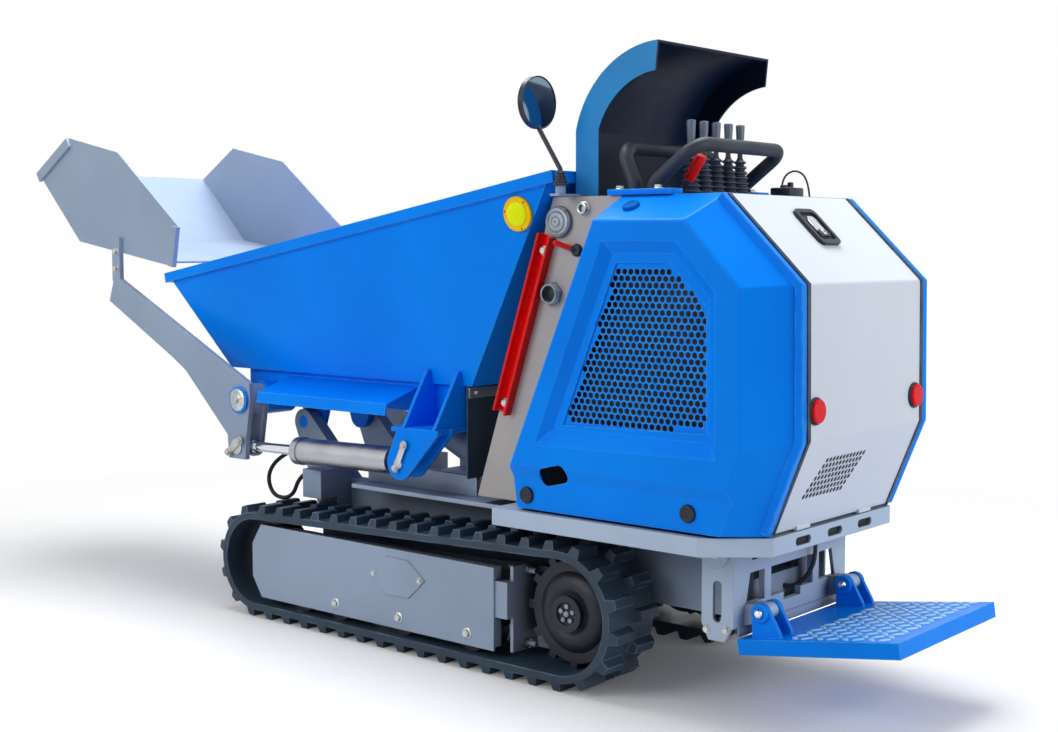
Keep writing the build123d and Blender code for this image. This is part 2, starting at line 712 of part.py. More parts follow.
def cowl_profile(inset):
    tip_in = (COWL_TIP[0] + inset * 0.1, COWL_TIP[1] - inset)
    x = COWL_FRONT_X - inset
    middle = (COWL_MID[0] - inset * 0.7, COWL_MID[1] - inset * 0.71)
    outer = [Line((COWL_FRONT_X, BODY_TOP), (COWL_FRONT_X, COWL_SPRING_Z))]
    outer.append(ThreePointArc((COWL_FRONT_X, COWL_SPRING_Z), COWL_MID, COWL_TIP))
    outer.append(Line(COWL_TIP, tip_in))
    outer.append(ThreePointArc(tip_in, middle, (x, COWL_SPRING_Z)))
    outer.append(Line((x, COWL_SPRING_Z), (x, BODY_TOP)))
    outer.append(Line((x, BODY_TOP), (COWL_FRONT_X, BODY_TOP)))
    return make_face(outer)


def cowl():
    """The curved guard in front of the levers, with a flange down each side."""
    sheet = across(cowl_profile(COWL_THICK), -COWL_HALF, COWL_HALF)
    flange = across(cowl_profile(COWL_FLANGE), COWL_HALF - COWL_THICK, COWL_HALF)
    return sheet + flange + other_side(flange)


def rear_door():
    """The folded tail panel, hinged along its lower edge, with a perforated patch."""
    inner = [(x + DOOR_THICK, z - DOOR_THICK / 2) for x, z in DOOR_OUTLINE[1:]]
    inner.insert(0, (DOOR_OUTLINE[0][0] + DOOR_THICK, DOOR_OUTLINE[0][1]))
    half = DOOR_HALF - DOOR_GAP
    section = outline(DOOR_OUTLINE + inner[::-1])
    folds = [v for v in section.vertices() if DOOR_OUTLINE[0][1] + 1 < v.Y < inner[-1][1]]
    panel = across(fillet(folds, DOOR_FOLD), -half, half)
    holes = hex_holes(outline(DOOR_GRILLE), DOOR_HEX_PITCH, DOOR_HEX_ACROSS)
    rear = DOOR_OUTLINE[1][0]
    panel -= [extrude(Plane.YZ.offset(rear) * hole, amount=DOOR_OUTLINE[0][0] - rear) for hole in holes]
    radius = DOOR_HINGE[1] - DECK_TOP - SEAT_GAP
    for y in DOOR_HINGE_YS:
        panel += rod_across(DOOR_HINGE, radius, y, y + DOOR_HINGE_LENGTH)
    return panel


def door_seat(facet, y, share):
    """A plane on one of the door's facets, a share of the way up it."""
    (x0, z0), (x1, z1) = DOOR_OUTLINE[facet : facet + 2]
    return Plane(
        origin=(x0 + share * (x1 - x0), y, z0 + share * (z1 - z0)),
        x_dir=(0, 1, 0),
        z_dir=(z0 - z1, 0, x1 - x0),
    )


def door_latch():
    """A dished latch with a pull bar, on the door's upper slope."""
    width, height = LATCH_SIZE
    face = RectangleRounded(width, height, LATCH_CORNER)
    hollow = (width - 2 * LATCH_FRAME, height - 2 * LATCH_FRAME)
    dish = RectangleRounded(*hollow, LATCH_CORNER - LATCH_FRAME / 2)
    latch = extrude(face, amount=LATCH_THICK) - Pos(0, 0, LATCH_FLOOR) * extrude(dish, amount=LATCH_THICK)
    grip = RectangleRounded(*LATCH_GRIP, LATCH_GRIP[1] / 3)
    latch += Pos(0, height / 5, LATCH_FLOOR) * extrude(grip, amount=LATCH_THICK - LATCH_FLOOR)
    return door_seat(2, *LATCH_AT) * latch


def rear_lamps():
    lens = Cylinder(LAMP_RADIUS, LAMP_DEPTH, align=(Align.CENTER, Align.CENTER, Align.MIN))
    lens = fillet(lens.edges().sort_by(Axis.Z)[-1], LAMP_DEPTH / 3)
    return [door_seat(1, y, LAMP_SHARE) * lens for y in LAMP_YS]


def engine():
    return block(ENGINE_X, (-ENGINE_HALF, ENGINE_HALF), (DECK_TOP, ENGINE_TOP))


# Skip


def rim_plane():
    run = (RIM_FRONT[0] - RIM_REAR[0], 0, RIM_FRONT[1] - RIM_REAR[1])
    return Plane(origin=(RIM_REAR[0], 0, RIM_REAR[1]), x_dir=run, z_dir=(-run[2], 0, run[0]))


def rim_length():
    return hypot(RIM_FRONT[0] - RIM_REAR[0], RIM_FRONT[1] - RIM_REAR[1])


def rim_face(inset, lift):
    length = rim_length()
    face = Pos(length / 2, 0, lift) * Rectangle(length - 2 * inset, 2 * (RIM_HALF - inset))
    return rim_plane() * face


def floor_face(inset, lift):
    middle = (FLOOR_X[0] + FLOOR_X[1]) / 2
    return Pos(middle, 0, FLOOR_Z + lift) * Rectangle(
        FLOOR_X[1] - FLOOR_X[0] - 2 * inset, 2 * (FLOOR_HALF - inset)
    )


def skip_tub():
    """The open tub with its flared sides and the flange round its rim."""
    outer = loft([floor_face(0, 0), rim_face(RIM_WIDTH - SKIP_WALL, 0)], ruled=True)
    inner = loft([floor_face(SKIP_WALL, SKIP_WALL), rim_face(RIM_WIDTH, 2)], ruled=True)
    rim = extrude(rim_face(0, 0) - rim_face(RIM_WIDTH, 0), amount=-RIM_DEPTH)
    return outer + rim - inner


def bracket():
    """The left lift cylinder's bracket: two round-footed cheeks under a plate with two webs."""
    pin_x, pin_z = CYLINDER_PIN
    near = EYE_HALF + SIDE_GAP
    low, high = BRACKET_TOP
    outer_y = CYLINDER_Y + near + CHEEK_THICK
    foot = Pos(pin_x - (pin_x - BRACKET_X[0]) / 2, (low + high) / 2) * Rectangle(BRACKET_FOOT, high - low)
    cheek = make_hull((Pos(pin_x, pin_z) * Circle(BRACKET_RADIUS)).edges() + foot.edges())
    piece = block(BRACKET_X, (SKIP_RAIL_Y[0], outer_y), BRACKET_TOP)
    for inside in (CYLINDER_Y - near - CHEEK_THICK, CYLINDER_Y + near):
        piece += across(cheek, inside, inside + CHEEK_THICK)
    inner_y = CYLINDER_Y - near - CHEEK_THICK
    piece += rod_across(CYLINDER_PIN, CYLINDER_PIN_RADIUS, inner_y, outer_y + SIDE_GAP)
    tip_y, tip_z = BRACKET_WEB_TOP
    rail_y = SKIP_RAIL_Y[1]
    wall = [(tip_y + BRACKET_WEB, tip_z), (tip_y, tip_z), (FLOOR_HALF, FLOOR_Z)]
    web = outline([(rail_y, high), (outer_y, high), *wall, (rail_y, FLOOR_Z)])
    for x in BRACKET_WEB_XS:
        piece += extrude(Plane.YZ.offset(x) * web, amount=BRACKET_WEB)
    return piece + block(BRACKET_X, SKIP_RAIL_Y, (high, SKIP_RAIL_Z))


def skip_frame():
    """Rails under the floor, hinge lugs, pivot bosses and the cylinders' brackets."""
    side = block(SKIP_RAIL_X, SKIP_RAIL_Y, (SKIP_RAIL_Z, FLOOR_Z))
    foot = Pos(SKIP_HINGE[0], FLOOR_Z - SKIP_LUG_FOOT[1] / 2) * Rectangle(*SKIP_LUG_FOOT)
    lug = make_hull((Pos(*SKIP_HINGE) * Circle(2 * SKIP_PIN_RADIUS)).edges() + foot.edges())
    side += across(lug, *SKIP_LUG_Y)
    side += rod_across(SKIP_HINGE, SKIP_PIN_RADIUS, SKIP_LUG_Y[1], RAIL_Y[1])
    boss_end = ARM_INNER_Y[0] - SIDE_GAP
    pin_end = ARM_Y[1] + SIDE_GAP
    side += rod_across(ARM_PIVOT, ARM_HUB_RADIUS + BOSS_LIP, SKIP_RAIL_Y[0], boss_end)
    side += rod_across(ARM_PIVOT, ARM_PIN_RADIUS, boss_end, pin_end)
    side += rod_across(ARM_PIVOT, ARM_HUB_RADIUS - BOSS_LIP, pin_end, pin_end + PIN_HEAD)
    side += bracket()
    guard = Plane.YZ.offset(GUARD_RAIL_X[0]) * outline(GUARD_RAIL)
    side += extrude(guard, amount=GUARD_RAIL_X[1] - GUARD_RAIL_X[0])
    foot = Pos(TIP_SKIP_PIN[0], FLOOR_Z - TIP_PAD / 2) * Rectangle(2 * TIP_PAD_HALF, TIP_PAD)
    side += tip_cheek(TIP_SKIP_PIN, foot)
    pin_start = TIP_EYE_HALF + SIDE_GAP + CHEEK_THICK
    side += rod_across(TIP_SKIP_PIN, TIP_PIN_RADIUS, pin_start, pin_start + PIN_HEAD)
    frame = side + other_side(side)
    length, depth = SKIP_CROSS_SIZE
    for x in SKIP_CROSS_XS:
        frame += block((x, x + length), (-SKIP_RAIL_Y[0], SKIP_RAIL_Y[0]), (FLOOR_Z - depth, FLOOR_Z))
    pad_x = (TIP_SKIP_PIN[0] - TIP_PAD_HALF, TIP_SKIP_PIN[0] + TIP_PAD_HALF)
    return frame + block(pad_x, (-TIP_PAD_HALF, TIP_PAD_HALF), (FLOOR_Z - TIP_PAD, FLOOR_Z))


def side_wall(share_up, share_along):
    """The plane on the outside of the left wall, at a share of its height and length."""
    slip = RIM_WIDTH - SKIP_WALL
    run = Vector(RIM_FRONT[0] - RIM_REAR[0], 0, RIM_FRONT[1] - RIM_REAR[1])
    rim_start = Vector(RIM_REAR[0], RIM_HALF - slip, RIM_REAR[1]) + run.normalized() * slip
    rim_point = rim_start + run * (share_along * (1 - 2 * slip / run.length))
    floor_point = Vector(FLOOR_X[0] + share_along * (FLOOR_X[1] - FLOOR_X[0]), FLOOR_HALF, FLOOR_Z)
    rise = rim_point - floor_point
    length_way = Vector(FLOOR_X[1] - FLOOR_X[0], 0, 0) * (1 - share_up) + run * share_up
    return Plane(origin=floor_point + rise * share_up, x_dir=length_way, z_dir=rise.cross(length_way))


def skip_reflectors():
    """Round side markers near the rear of the rim."""
    disc = Pos(0, 0, SEAT_GAP) * Cylinder(*REFLECTOR, align=(Align.CENTER, Align.CENTER, Align.MIN))
    return pair(side_wall(REFLECTOR_UP, REFLECTOR_ALONG) * disc)


# Loader


def loader_arm():
    """A flat arm with a short lever to its cylinder and the hub on the pivot."""
    arm = outline(ARM_OUTLINE)
    lever = make_hull(
        (Pos(*ARM_PIVOT) * Circle(ARM_HUB_RADIUS)).edges() + (Pos(*ARM_TAIL) * Circle(TAIL_RADIUS)).edges()
    )
    piece = across(arm + lever, *ARM_Y) + across(lever, *ARM_INNER_Y)
    piece += rod_across(ARM_PIVOT, ARM_HUB_RADIUS, ARM_INNER_Y[0], ARM_Y[1])
    piece += block(ARM_TIP_X, ARM_Y, ARM_TIP_Z)
    piece -= rod_across(ARM_PIVOT, ARM_PIN_RADIUS + RUN_GAP, ARM_INNER_Y[0] - 1, ARM_Y[1] + 1)
    return piece


def edge_bar(start, end, size):
    """A flat bar on the outside of the left side plate, along an edge and inward from it."""
    width, thick = size
    inward = unit_left(start, end)
    far = [(x + inward[0] * width, z + inward[1] * width) for x, z in (end, start)]
    return across(outline([start, end, *far]), SHOVEL_HALF, SHOVEL_HALF + thick)


def shovel():
    """Two side plates with edge bars and a folded sheet, open to the top and rear."""
    lip_top, _, crown, heel, knee, lip = SHOVEL_OUTLINE
    side = across(outline(SHOVEL_OUTLINE), SHOVEL_HALF - SHOVEL_PLATE, SHOVEL_HALF)
    side += edge_bar(lip, lip_top, LIP_BAR) + edge_bar(crown, heel, HEEL_BAR)
    share = (SHEET_REAR_X - heel[0]) / (knee[0] - heel[0])
    start = (SHEET_REAR_X, heel[1] + share * (knee[1] - heel[1]))
    sheet = outline([start, knee, lip, *raised([lip, knee, start], SHOVEL_PLATE)])
    body = across(sheet, -SHOVEL_HALF + SHOVEL_PLATE, SHOVEL_HALF - SHOVEL_PLATE)
    return body + side + other_side(side)


def raised(points, thick):
    """The same line on the inner side of the sheet."""
    (lip, knee, heel) = points
    up_front = unit_left(knee, lip)
    up_rear = unit_left(heel, knee)
    mid = (up_front[0] + up_rear[0], up_front[1] + up_rear[1])
    scale = thick / (mid[0] * up_front[0] + mid[1] * up_front[1])
    return [
        (lip[0] + up_front[0] * thick, lip[1] + up_front[1] * thick),
        (knee[0] + mid[0] * scale, knee[1] + mid[1] * scale),
        (heel[0] + up_rear[0] * thick, heel[1] + up_rear[1] * thick),
    ]


def unit_left(start, end):
    run = end[0] - start[0]
    rise = end[1] - start[1]
    length = hypot(run, rise)
    return (-rise / length, run / length)


def along_bar(start, end, radius):
    """A round bar along X from start to end."""
    return Pos(start, 0, 0) * Rot(0, 90, 0) * Cylinder(
        radius, end - start, align=(Align.CENTER, Align.CENTER, Align.MIN)
    )


def eye(radius, half):
    return Rot(90, 0, 0) * Cylinder(radius, 2 * half)


def loader_barrel():
    """Barrel with its gland nut and rear eye, along X from the eye's centre."""
    barrel = along_bar(BARREL_START, BARREL_END, BARREL_RADIUS)
    barrel += along_bar(BARREL_END - GLAND_LENGTH, BARREL_END, BARREL_RADIUS + 3)
    barrel += eye(EYE_RADIUS, EYE_HALF) + along_bar(0, BARREL_START + 1, EYE_HALF)
    barrel -= eye(CYLINDER_PIN_RADIUS + RUN_GAP, EYE_HALF + 1)
    barrel -= along_bar(BARREL_START + BARREL_BASE, BARREL_END + 1, ROD_RADIUS + RUN_GAP)
    angle, _ = angle_and_length(CYLINDER_PIN, ARM_TAIL)
    return Pos(0, CYLINDER_Y, 0) * turned(barrel, CYLINDER_PIN, angle)


def loader_rod():
    """Rod with a square eye block between the arm's two plates."""
    angle, length = angle_and_length(CYLINDER_PIN, ARM_TAIL)
    rod = along_bar(ROD_START, length, ROD_RADIUS)
    rod += along_bar(length - 2 * EYE_RADIUS, length, ROD_RADIUS + 5)
    rod += Pos(length, 0, 0) * Box(2 * EYE_RADIUS, 2 * EYE_HALF, 2 * EYE_RADIUS)
    return Pos(0, CYLINDER_Y, 0) * turned(rod, CYLINDER_PIN, angle)


def tip_barrel():
    """Barrel of the tipping cylinder with its rear eye."""
    barrel = along_bar(TIP_BARREL_START, TIP_BARREL_END, TIP_BARREL_RADIUS)
    barrel += eye(TIP_LUG_RADIUS, TIP_EYE_HALF) + along_bar(0, TIP_BARREL_START + 1, TIP_EYE_HALF)
    barrel -= eye(TIP_PIN_RADIUS + RUN_GAP, TIP_EYE_HALF + 1)
    barrel -= along_bar(TIP_ROD_START - 10, TIP_BARREL_END + 1, TIP_ROD_RADIUS + RUN_GAP)
    angle, _ = angle_and_length(TIP_CHASSIS_PIN, TIP_SKIP_PIN)
    return turned(barrel, TIP_CHASSIS_PIN, angle)


def tip_rod():
    """Rod of the tipping cylinder with its round eye."""
    angle, length = angle_and_length(TIP_CHASSIS_PIN, TIP_SKIP_PIN)
    rod = along_bar(TIP_ROD_START, length, TIP_ROD_RADIUS)
    rod += Pos(length, 0, 0) * eye(TIP_EYE_RADIUS, TIP_EYE_HALF)
    return turned(rod, TIP_CHASSIS_PIN, angle)


def safety_prop():
    """A red channel kept along the tank's front edge."""
    angle, length = angle_and_length(*PROP_ENDS)
    middle = [(low + high) / 2 for low, high in zip(*PROP_ENDS)]
    seat = Pos(*middle) * Rot(0, 0, angle)
    prop = across(seat * Rectangle(length, PROP_WIDTH), TANK_HALF, TANK_HALF + PROP_DEPTH)
    groove = seat * Rectangle(length + 1, PROP_WIDTH - 2 * PROP_WALL)
    return prop - across(groove, TANK_HALF + PROP_WALL, TANK_HALF + PROP_DEPTH + 1)


# Step and mirrors


def step():
    """The folding tread plate with its two pairs of hinge ears, about its hinge axis."""
    size = (STEP_FRONT - STEP_REAR, 2 * STEP_HALF)
    middle = (STEP_FRONT + STEP_REAR) / 2
    tray = block((STEP_REAR, STEP_FRONT), (-STEP_HALF, STEP_HALF), (-STEP_DROP - STEP_LIP, -STEP_DROP))
    tray -= Pos(middle, 0, -STEP_DROP - STEP_PLATE - STEP_LIP / 2) * Box(
        size[0] - 2 * STEP_PLATE, size[1] - 2 * STEP_PLATE, STEP_LIP
    )
    ear = make_hull(Circle(EAR_RADIUS).edges() + (Pos(-8, -STEP_DROP + 4) * Rectangle(76, 8)).edges())
    for centre in (EAR_Y, -EAR_Y):
        for low in (centre - EAR_HALF - EAR_THICK, centre + EAR_HALF):
            tray += across(ear, low, low + EAR_THICK)
    tray -= rod_across((0, 0), STEP_PIN_RADIUS + RUN_GAP, -STEP_HALF, STEP_HALF)
    return turned(tray, STEP_HINGE, -STEP_TILT)


def mirror_foot():
    """The bracket and rubber boot that carry the left mirror."""
    foot = block((MIRROR_X - 14, MIRROR_X + 14), (TANK_HALF - 15, MIRROR_Y + 24), (BODY_TOP, BODY_TOP + 6))
    return foot + Pos(MIRROR_X, MIRROR_Y, BODY_TOP + 6) * Cylinder(
        13, 20, align=(Align.CENTER, Align.CENTER, Align.MIN)
    )


def mirror_head():
    """A bent stalk with a round mirror facing the operator."""
    foot = BODY_TOP + 26 + SEAT_GAP
    head = (MIRROR_HEAD[0] + MIRROR_THICK / 2, MIRROR_Y, MIRROR_HEAD[1] - MIRROR_RADIUS + 2 * STALK_RADIUS)
    path = FilletPolyline((MIRROR_X, MIRROR_Y, foot), (MIRROR_X, MIRROR_Y, STALK_KNEE_Z), head, radius=14)
    stalk = sweep((path ^ 0) * Circle(STALK_RADIUS), path=path)
    disc = Pos(MIRROR_HEAD[0], MIRROR_Y, MIRROR_HEAD[1]) * Rot(0, 90, 0) * Cylinder(
        MIRROR_RADIUS, MIRROR_THICK, align=(Align.CENTER, Align.CENTER, Align.MIN)
    )
    return stalk + disc


def nodes():
    """Every node's name with its solid or solids."""
    made = {
        "chassis_frame": chassis_frame(),
        "deck": deck(),
        "rear_frame": rear_frame(),
        "tank": tank(),
        "tank_fittings": tank_fittings(),
        "safety_prop": safety_prop(),
        "engine": engine(),
        "console": console(),
        "levers": levers(),
        "handlebars": handlebars(),
        "cowl": cowl(),
        "rear_door": rear_door(),
        "door_latch": door_latch(),
        "rear_lamps": rear_lamps(),
        "skip_tub": skip_tub(),
        "skip_frame": skip_frame(),
        "skip_reflectors": skip_reflectors(),
        "shovel": shovel(),
        "tip_barrel": tip_barrel(),
        "tip_rod": tip_rod(),
        "step": step(),
        "mirror_feet": pair(mirror_foot()),
    }
    sided = {
        "track": track(),
        "track_frame": track_frame(),
        "sprocket": sprocket(),
        "running_wheels": running_wheels(),
        "side_panel": side_panel(),
        "grille": grille(),
        "loader_arm": loader_arm(),
        "loader_barrel": loader_barrel(),
        "loader_rod": loader_rod(),
        "mirror": mirror_head(),
    }
    for name, shape in sided.items():
        pieces = shape if isinstance(shape, list) else [shape]
        made[f"{name}_left"] = pieces
        made[f"{name}_right"] = [other_side(piece) for piece in pieces]
    return made


made = nodes()
X_MIDDLE = (made["shovel"].bounding_box().max.X + made["step"].bounding_box().min.X) / 2
os.makedirs("parts", exist_ok=True)
for name, shape in made.items():
    pieces = shape if isinstance(shape, list) else [shape]
    solids = [Pos(-X_MIDDLE, 0, 0) * solid for piece in pieces for solid in piece.solids()]
    export_step(Compound(children=solids), f"parts/{name}.step")
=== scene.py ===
from math import cos, pi, radians, sin, sqrt

import bmesh
import bpy
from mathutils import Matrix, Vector


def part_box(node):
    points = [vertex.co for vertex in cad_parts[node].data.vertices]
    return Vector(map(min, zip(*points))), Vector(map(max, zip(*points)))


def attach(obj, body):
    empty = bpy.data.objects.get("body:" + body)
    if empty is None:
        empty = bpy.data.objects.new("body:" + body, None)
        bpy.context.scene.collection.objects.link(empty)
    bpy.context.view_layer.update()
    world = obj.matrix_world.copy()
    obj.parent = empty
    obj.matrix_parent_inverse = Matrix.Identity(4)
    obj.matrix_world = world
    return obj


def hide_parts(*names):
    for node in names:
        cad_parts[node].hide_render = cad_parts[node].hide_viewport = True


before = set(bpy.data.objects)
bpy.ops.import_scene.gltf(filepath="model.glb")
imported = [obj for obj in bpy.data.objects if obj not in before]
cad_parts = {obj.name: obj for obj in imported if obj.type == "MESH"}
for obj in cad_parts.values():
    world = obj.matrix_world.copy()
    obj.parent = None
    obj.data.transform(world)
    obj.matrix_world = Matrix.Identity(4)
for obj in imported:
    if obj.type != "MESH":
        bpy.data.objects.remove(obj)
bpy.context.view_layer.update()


# Materials

def srgb(r, g, b):
    """A colour given as 0 to 255 display values, as linear RGBA."""
    def linear(c):
        c /= 255
        return c / 12.92 if c <= 0.04045 else ((c + 0.055) / 1.055) ** 2.4
    return (linear(r), linear(g), linear(b), 1)


def brighter(colour, factor):
    return tuple(c * factor for c in colour[:3]) + (1,)


class Look:
    """A node material round one Principled shader."""

    def __init__(self, name, **values):
        self.material = bpy.data.materials.new(name)
        self.material.use_nodes = True
        self.tree = self.material.node_tree
        self.shader = self.tree.nodes["Principled BSDF"]
        for key, value in values.items():
            self.shader.inputs[key.replace("_", " ")].default_value = value
        self.where = self.add("ShaderNodeTexCoord").outputs["Object"]

    def add(self, kind, **values):
        node = self.tree.nodes.new(kind)
        for key, value in values.items():
            setattr(node, key, value)
        return node

    def link(self, out, into):
        self.tree.links.new(out, into)

    def set(self, key, output):
        self.link(output, self.shader.inputs[key])

    def noise(self, scale, detail, stretch=None):
        """A noise over the object, stretched along its axes if asked."""
        node = self.add("ShaderNodeTexNoise")
        node.inputs["Scale"].default_value = scale
        node.inputs["Detail"].default_value = detail
        place = self.where
        if stretch:
            mapping = self.add("ShaderNodeMapping")
            mapping.inputs["Scale"].default_value = stretch
            self.link(place, mapping.inputs["Vector"])
            place = mapping.outputs["Vector"]
        self.link(place, node.inputs["Vector"])
        return node.outputs["Fac"]

    def ramp(self, factor, *stops):
        """Colours or grey values along a factor."""
        node = self.add("ShaderNodeValToRGB")
        elements = node.color_ramp.elements
        while len(elements) < len(stops):
            elements.new(0.5)
        for element, (place, value) in zip(elements, stops):
            element.position = place
            element.color = value if isinstance(value, tuple) else (value, value, value, 1)
        self.link(factor, node.inputs["Fac"])
        return node.outputs["Color"]

    def mix(self, factor, first, second, kind="MIX"):
        """Two colours mixed by a factor, each a value or another node's output."""
        node = self.add("ShaderNodeMix", data_type="RGBA", blend_type=kind)
        for value, into in ((factor, "Factor_Float"), (first, "A_Color"), (second, "B_Color")):
            socket = next(i for i in node.inputs if i.identifier == into)
            if isinstance(value, bpy.types.NodeSocket):
                self.link(value, socket)
            else:
                socket.default_value = value
        return next(o for o in node.outputs if o.identifier == "Result_Color")

    def eased(self, radius):
        """The normal as it would be with rounded edges."""
        node = self.add("ShaderNodeBevel", samples=4)
        node.inputs["Radius"].default_value = radius
        return node.outputs["Normal"]

    def edges(self, radius):
        """White along the edges: where a rounded normal leaves the true one."""
        geometry = self.add("ShaderNodeNewGeometry")
        dot = self.add("ShaderNodeVectorMath", operation="DOT_PRODUCT")
        self.link(self.eased(radius), dot.inputs[0])
        self.link(geometry.outputs["Normal"], dot.inputs[1])
        return self.ramp(dot.outputs["Value"], (0.80, 1.0), (0.97, 0.0))

    def hollows(self, reach):
        """White out in the open, dark in corners and cavities."""
        node = self.add("ShaderNodeAmbientOcclusion", samples=6)
        node.inputs["Distance"].default_value = reach
        return node.outputs["AO"]

    def bump(self, height, strength, distance, edge=0.0):
        """Relief on the surface, over edges that are eased if asked."""
        node = self.add("ShaderNodeBump")
        if edge:
            self.link(self.eased(edge), node.inputs["Normal"])
        node.inputs["Strength"].default_value = strength
        node.inputs["Distance"].default_value = distance
        self.link(height, node.inputs["Height"])
        self.set("Normal", node.outputs["Normal"])


def paint(name, colour, dark, rough, coat=0.0, metallic=0.0, wear_and_highlight=None, gloss=0.5, hollow_shade=None):
    """Sprayed paint: slight cloudiness, orange peel, eased edges with wear and a painted highlight, painted
    shade in the hollows.
    """
    look = Look(name, Metallic=metallic, Coat_Weight=coat, Coat_Roughness=0.06, Specular_IOR_Level=gloss)
    cloud = look.noise(scale=2.2, detail=5)
    base = look.ramp(cloud, (0.35, dark), (0.62, colour))
    # Paler along the edges: wear, and a painted highlight on the folds
    if wear_and_highlight:
        scratches = look.ramp(look.noise(scale=60, detail=6), (0.42, 0.3), (0.62, 1.0))
        wear_and_highlight_mask = look.mix(1.0, look.edges(radius=0.004), scratches, "MULTIPLY")
        base = look.mix(wear_and_highlight_mask, base, wear_and_highlight)
    # Painted shade: darker where ambient occlusion finds corners and cavities
    if hollow_shade:
        unshaded = look.ramp(look.hollows(reach=0.2), (0.12, 0.0), (0.5, 1.0))
        base = look.mix(unshaded, hollow_shade, base)
    look.set("Base Color", base)
    patches = look.noise(scale=9, detail=6)
    look.set("Roughness", look.ramp(patches, (0.3, rough * 0.9), (0.75, min(1, rough * 1.12))))
    peel = look.noise(scale=140, detail=3)
    look.bump(peel, strength=0.12, distance=0.0004, edge=0.0035)
    return look.material


def metal(name, colour, dark, rough, stretch=None, scale=40):
    """Bare metal with fine streaks, drawn out along an axis if asked."""
    look = Look(name, Metallic=1.0)
    streaks = look.noise(scale, 5, stretch)
    smears = look.noise(scale * 1.7, 5, stretch)
    look.set("Base Color", look.ramp(streaks, (0.3, dark), (0.7, colour)))
    look.set("Roughness", look.ramp(smears, (0.3, rough * 0.7), (0.75, rough * 1.4)))
    look.bump(streaks, strength=0.08, distance=0.0004)
    return look.material


def soft_black(name, colour, wear_and_highlight, rough, grain, depth):
    """Rubber, cast iron or moulded plastic with a fine grain, paler along its edges: wear, and a painted
    glint.
    """
    look = Look(name, Specular_IOR_Level=0.3)
    rub_and_glint_patches = look.ramp(look.noise(scale=14, detail=6), (0.4, 0.0), (0.65, 1.0))
    edge = look.mix(1.0, look.edges(radius=0.006), rub_and_glint_patches, "MULTIPLY")
    cloud = look.noise(scale=5, detail=5)
    base = look.ramp(cloud, (0.3, colour), (0.75, brighter(colour, 1.5)))
    look.set("Base Color", look.mix(edge, base, wear_and_highlight))
    patches = look.noise(scale=11, detail=6)
    look.set("Roughness", look.ramp(patches, (0.3, rough * 0.8), (0.7, min(1, rough * 1.25))))
    look.bump(look.noise(grain, detail=4), strength=0.35, distance=depth, edge=0.003)
    return look.material


def cowl_black(name, outside, inside):
    """Satin black sheet; where it faces away from the middle plane, its flanks carry a painted steel blue
    reflection.
    """
    look = Look(name, Specular_IOR_Level=0.14)
    geometry = look.add("ShaderNodeNewGeometry")
    facing = look.add("ShaderNodeSeparateXYZ")
    look.link(geometry.outputs["Normal"], facing.inputs["Vector"])
    place = look.add("ShaderNodeSeparateXYZ")
    look.link(look.where, place.inputs["Vector"])
    flank = look.add("ShaderNodeMath", operation="MULTIPLY")
    look.link(facing.outputs["Y"], flank.inputs[0])
    look.link(place.outputs["Y"], flank.inputs[1])
    outer = look.add("ShaderNodeMath", operation="MULTIPLY")
    look.link(flank.outputs["Value"], outer.inputs[0])
    outer.inputs[1].default_value = 4
    reflection_mask = look.ramp(outer.outputs["Value"], (0.4, 0.0), (0.7, 1.0))
    cloud = look.noise(scale=4, detail=5)
    dull = look.ramp(cloud, (0.35, inside), (0.7, brighter(inside, 1.35)))
    sky_reflection = look.ramp(cloud, (0.35, outside), (0.7, brighter(outside, 1.25)))
    look.set("Base Color", look.mix(reflection_mask, dull, sky_reflection))
    look.set("Roughness", look.ramp(look.noise(scale=12, detail=6), (0.3, 0.3), (0.75, 0.46)))
    look.bump(look.noise(scale=180, detail=3), strength=0.15, distance=0.0004, edge=0.003)
    return look.material


def lens(name, colour, dark):
    """Moulded lens with fine cells under a clear face."""
    look = Look(name, Coat_Weight=0.06, Coat_Roughness=0.05, Roughness=0.3, Specular_IOR_Level=0.1)
    cells = look.add("ShaderNodeTexVoronoi")
    cells.inputs["Scale"].default_value = 260
    look.link(look.where, cells.inputs["Vector"])
    look.set("Base Color", look.ramp(cells.outputs["Distance"], (0.1, dark), (0.6, colour)))
    look.bump(cells.outputs["Distance"], strength=0.4, distance=0.0008)
    return look.material


RUBBED_SILVER = srgb(190, 200, 212)
# Colour of the painted shade in corners and cavities
HOLLOW_SHADE_COLOUR = srgb(24, 27, 33)
# Blue paint; its pale edge colour is wear and a painted highlight along the folds
BLUE = paint(
    "blue_paint", srgb(0, 138, 252), srgb(0, 127, 242), 0.32,
    coat=0.03, wear_and_highlight=srgb(110, 205, 252), gloss=0.06,
)
DEEP_BLUE = paint(
    "deep_blue", srgb(0, 98, 184), srgb(0, 88, 170), 0.5,
    wear_and_highlight=srgb(0, 122, 206), gloss=0.03,
)
# Pale blue of the raised tread's crowns: a painted glint
TREAD_GLINT = paint(
    "tread_painted_glint", srgb(178, 224, 254), srgb(130, 202, 252), 0.22,
    coat=0.1, gloss=0.2,
)
SILVER = paint(
    "silver_paint", srgb(150, 166, 188), srgb(140, 156, 179), 0.5,
    metallic=0.1, wear_and_highlight=RUBBED_SILVER, gloss=0.2,
)
# Silver paint with painted shade in its hollows
SILVER_HOLLOW_SHADE = paint(
    "silver_painted_hollow_shade", srgb(150, 166, 188), srgb(138, 153, 175), 0.5,
    metallic=0.1, wear_and_highlight=RUBBED_SILVER, gloss=0.2, hollow_shade=HOLLOW_SHADE_COLOUR,
)
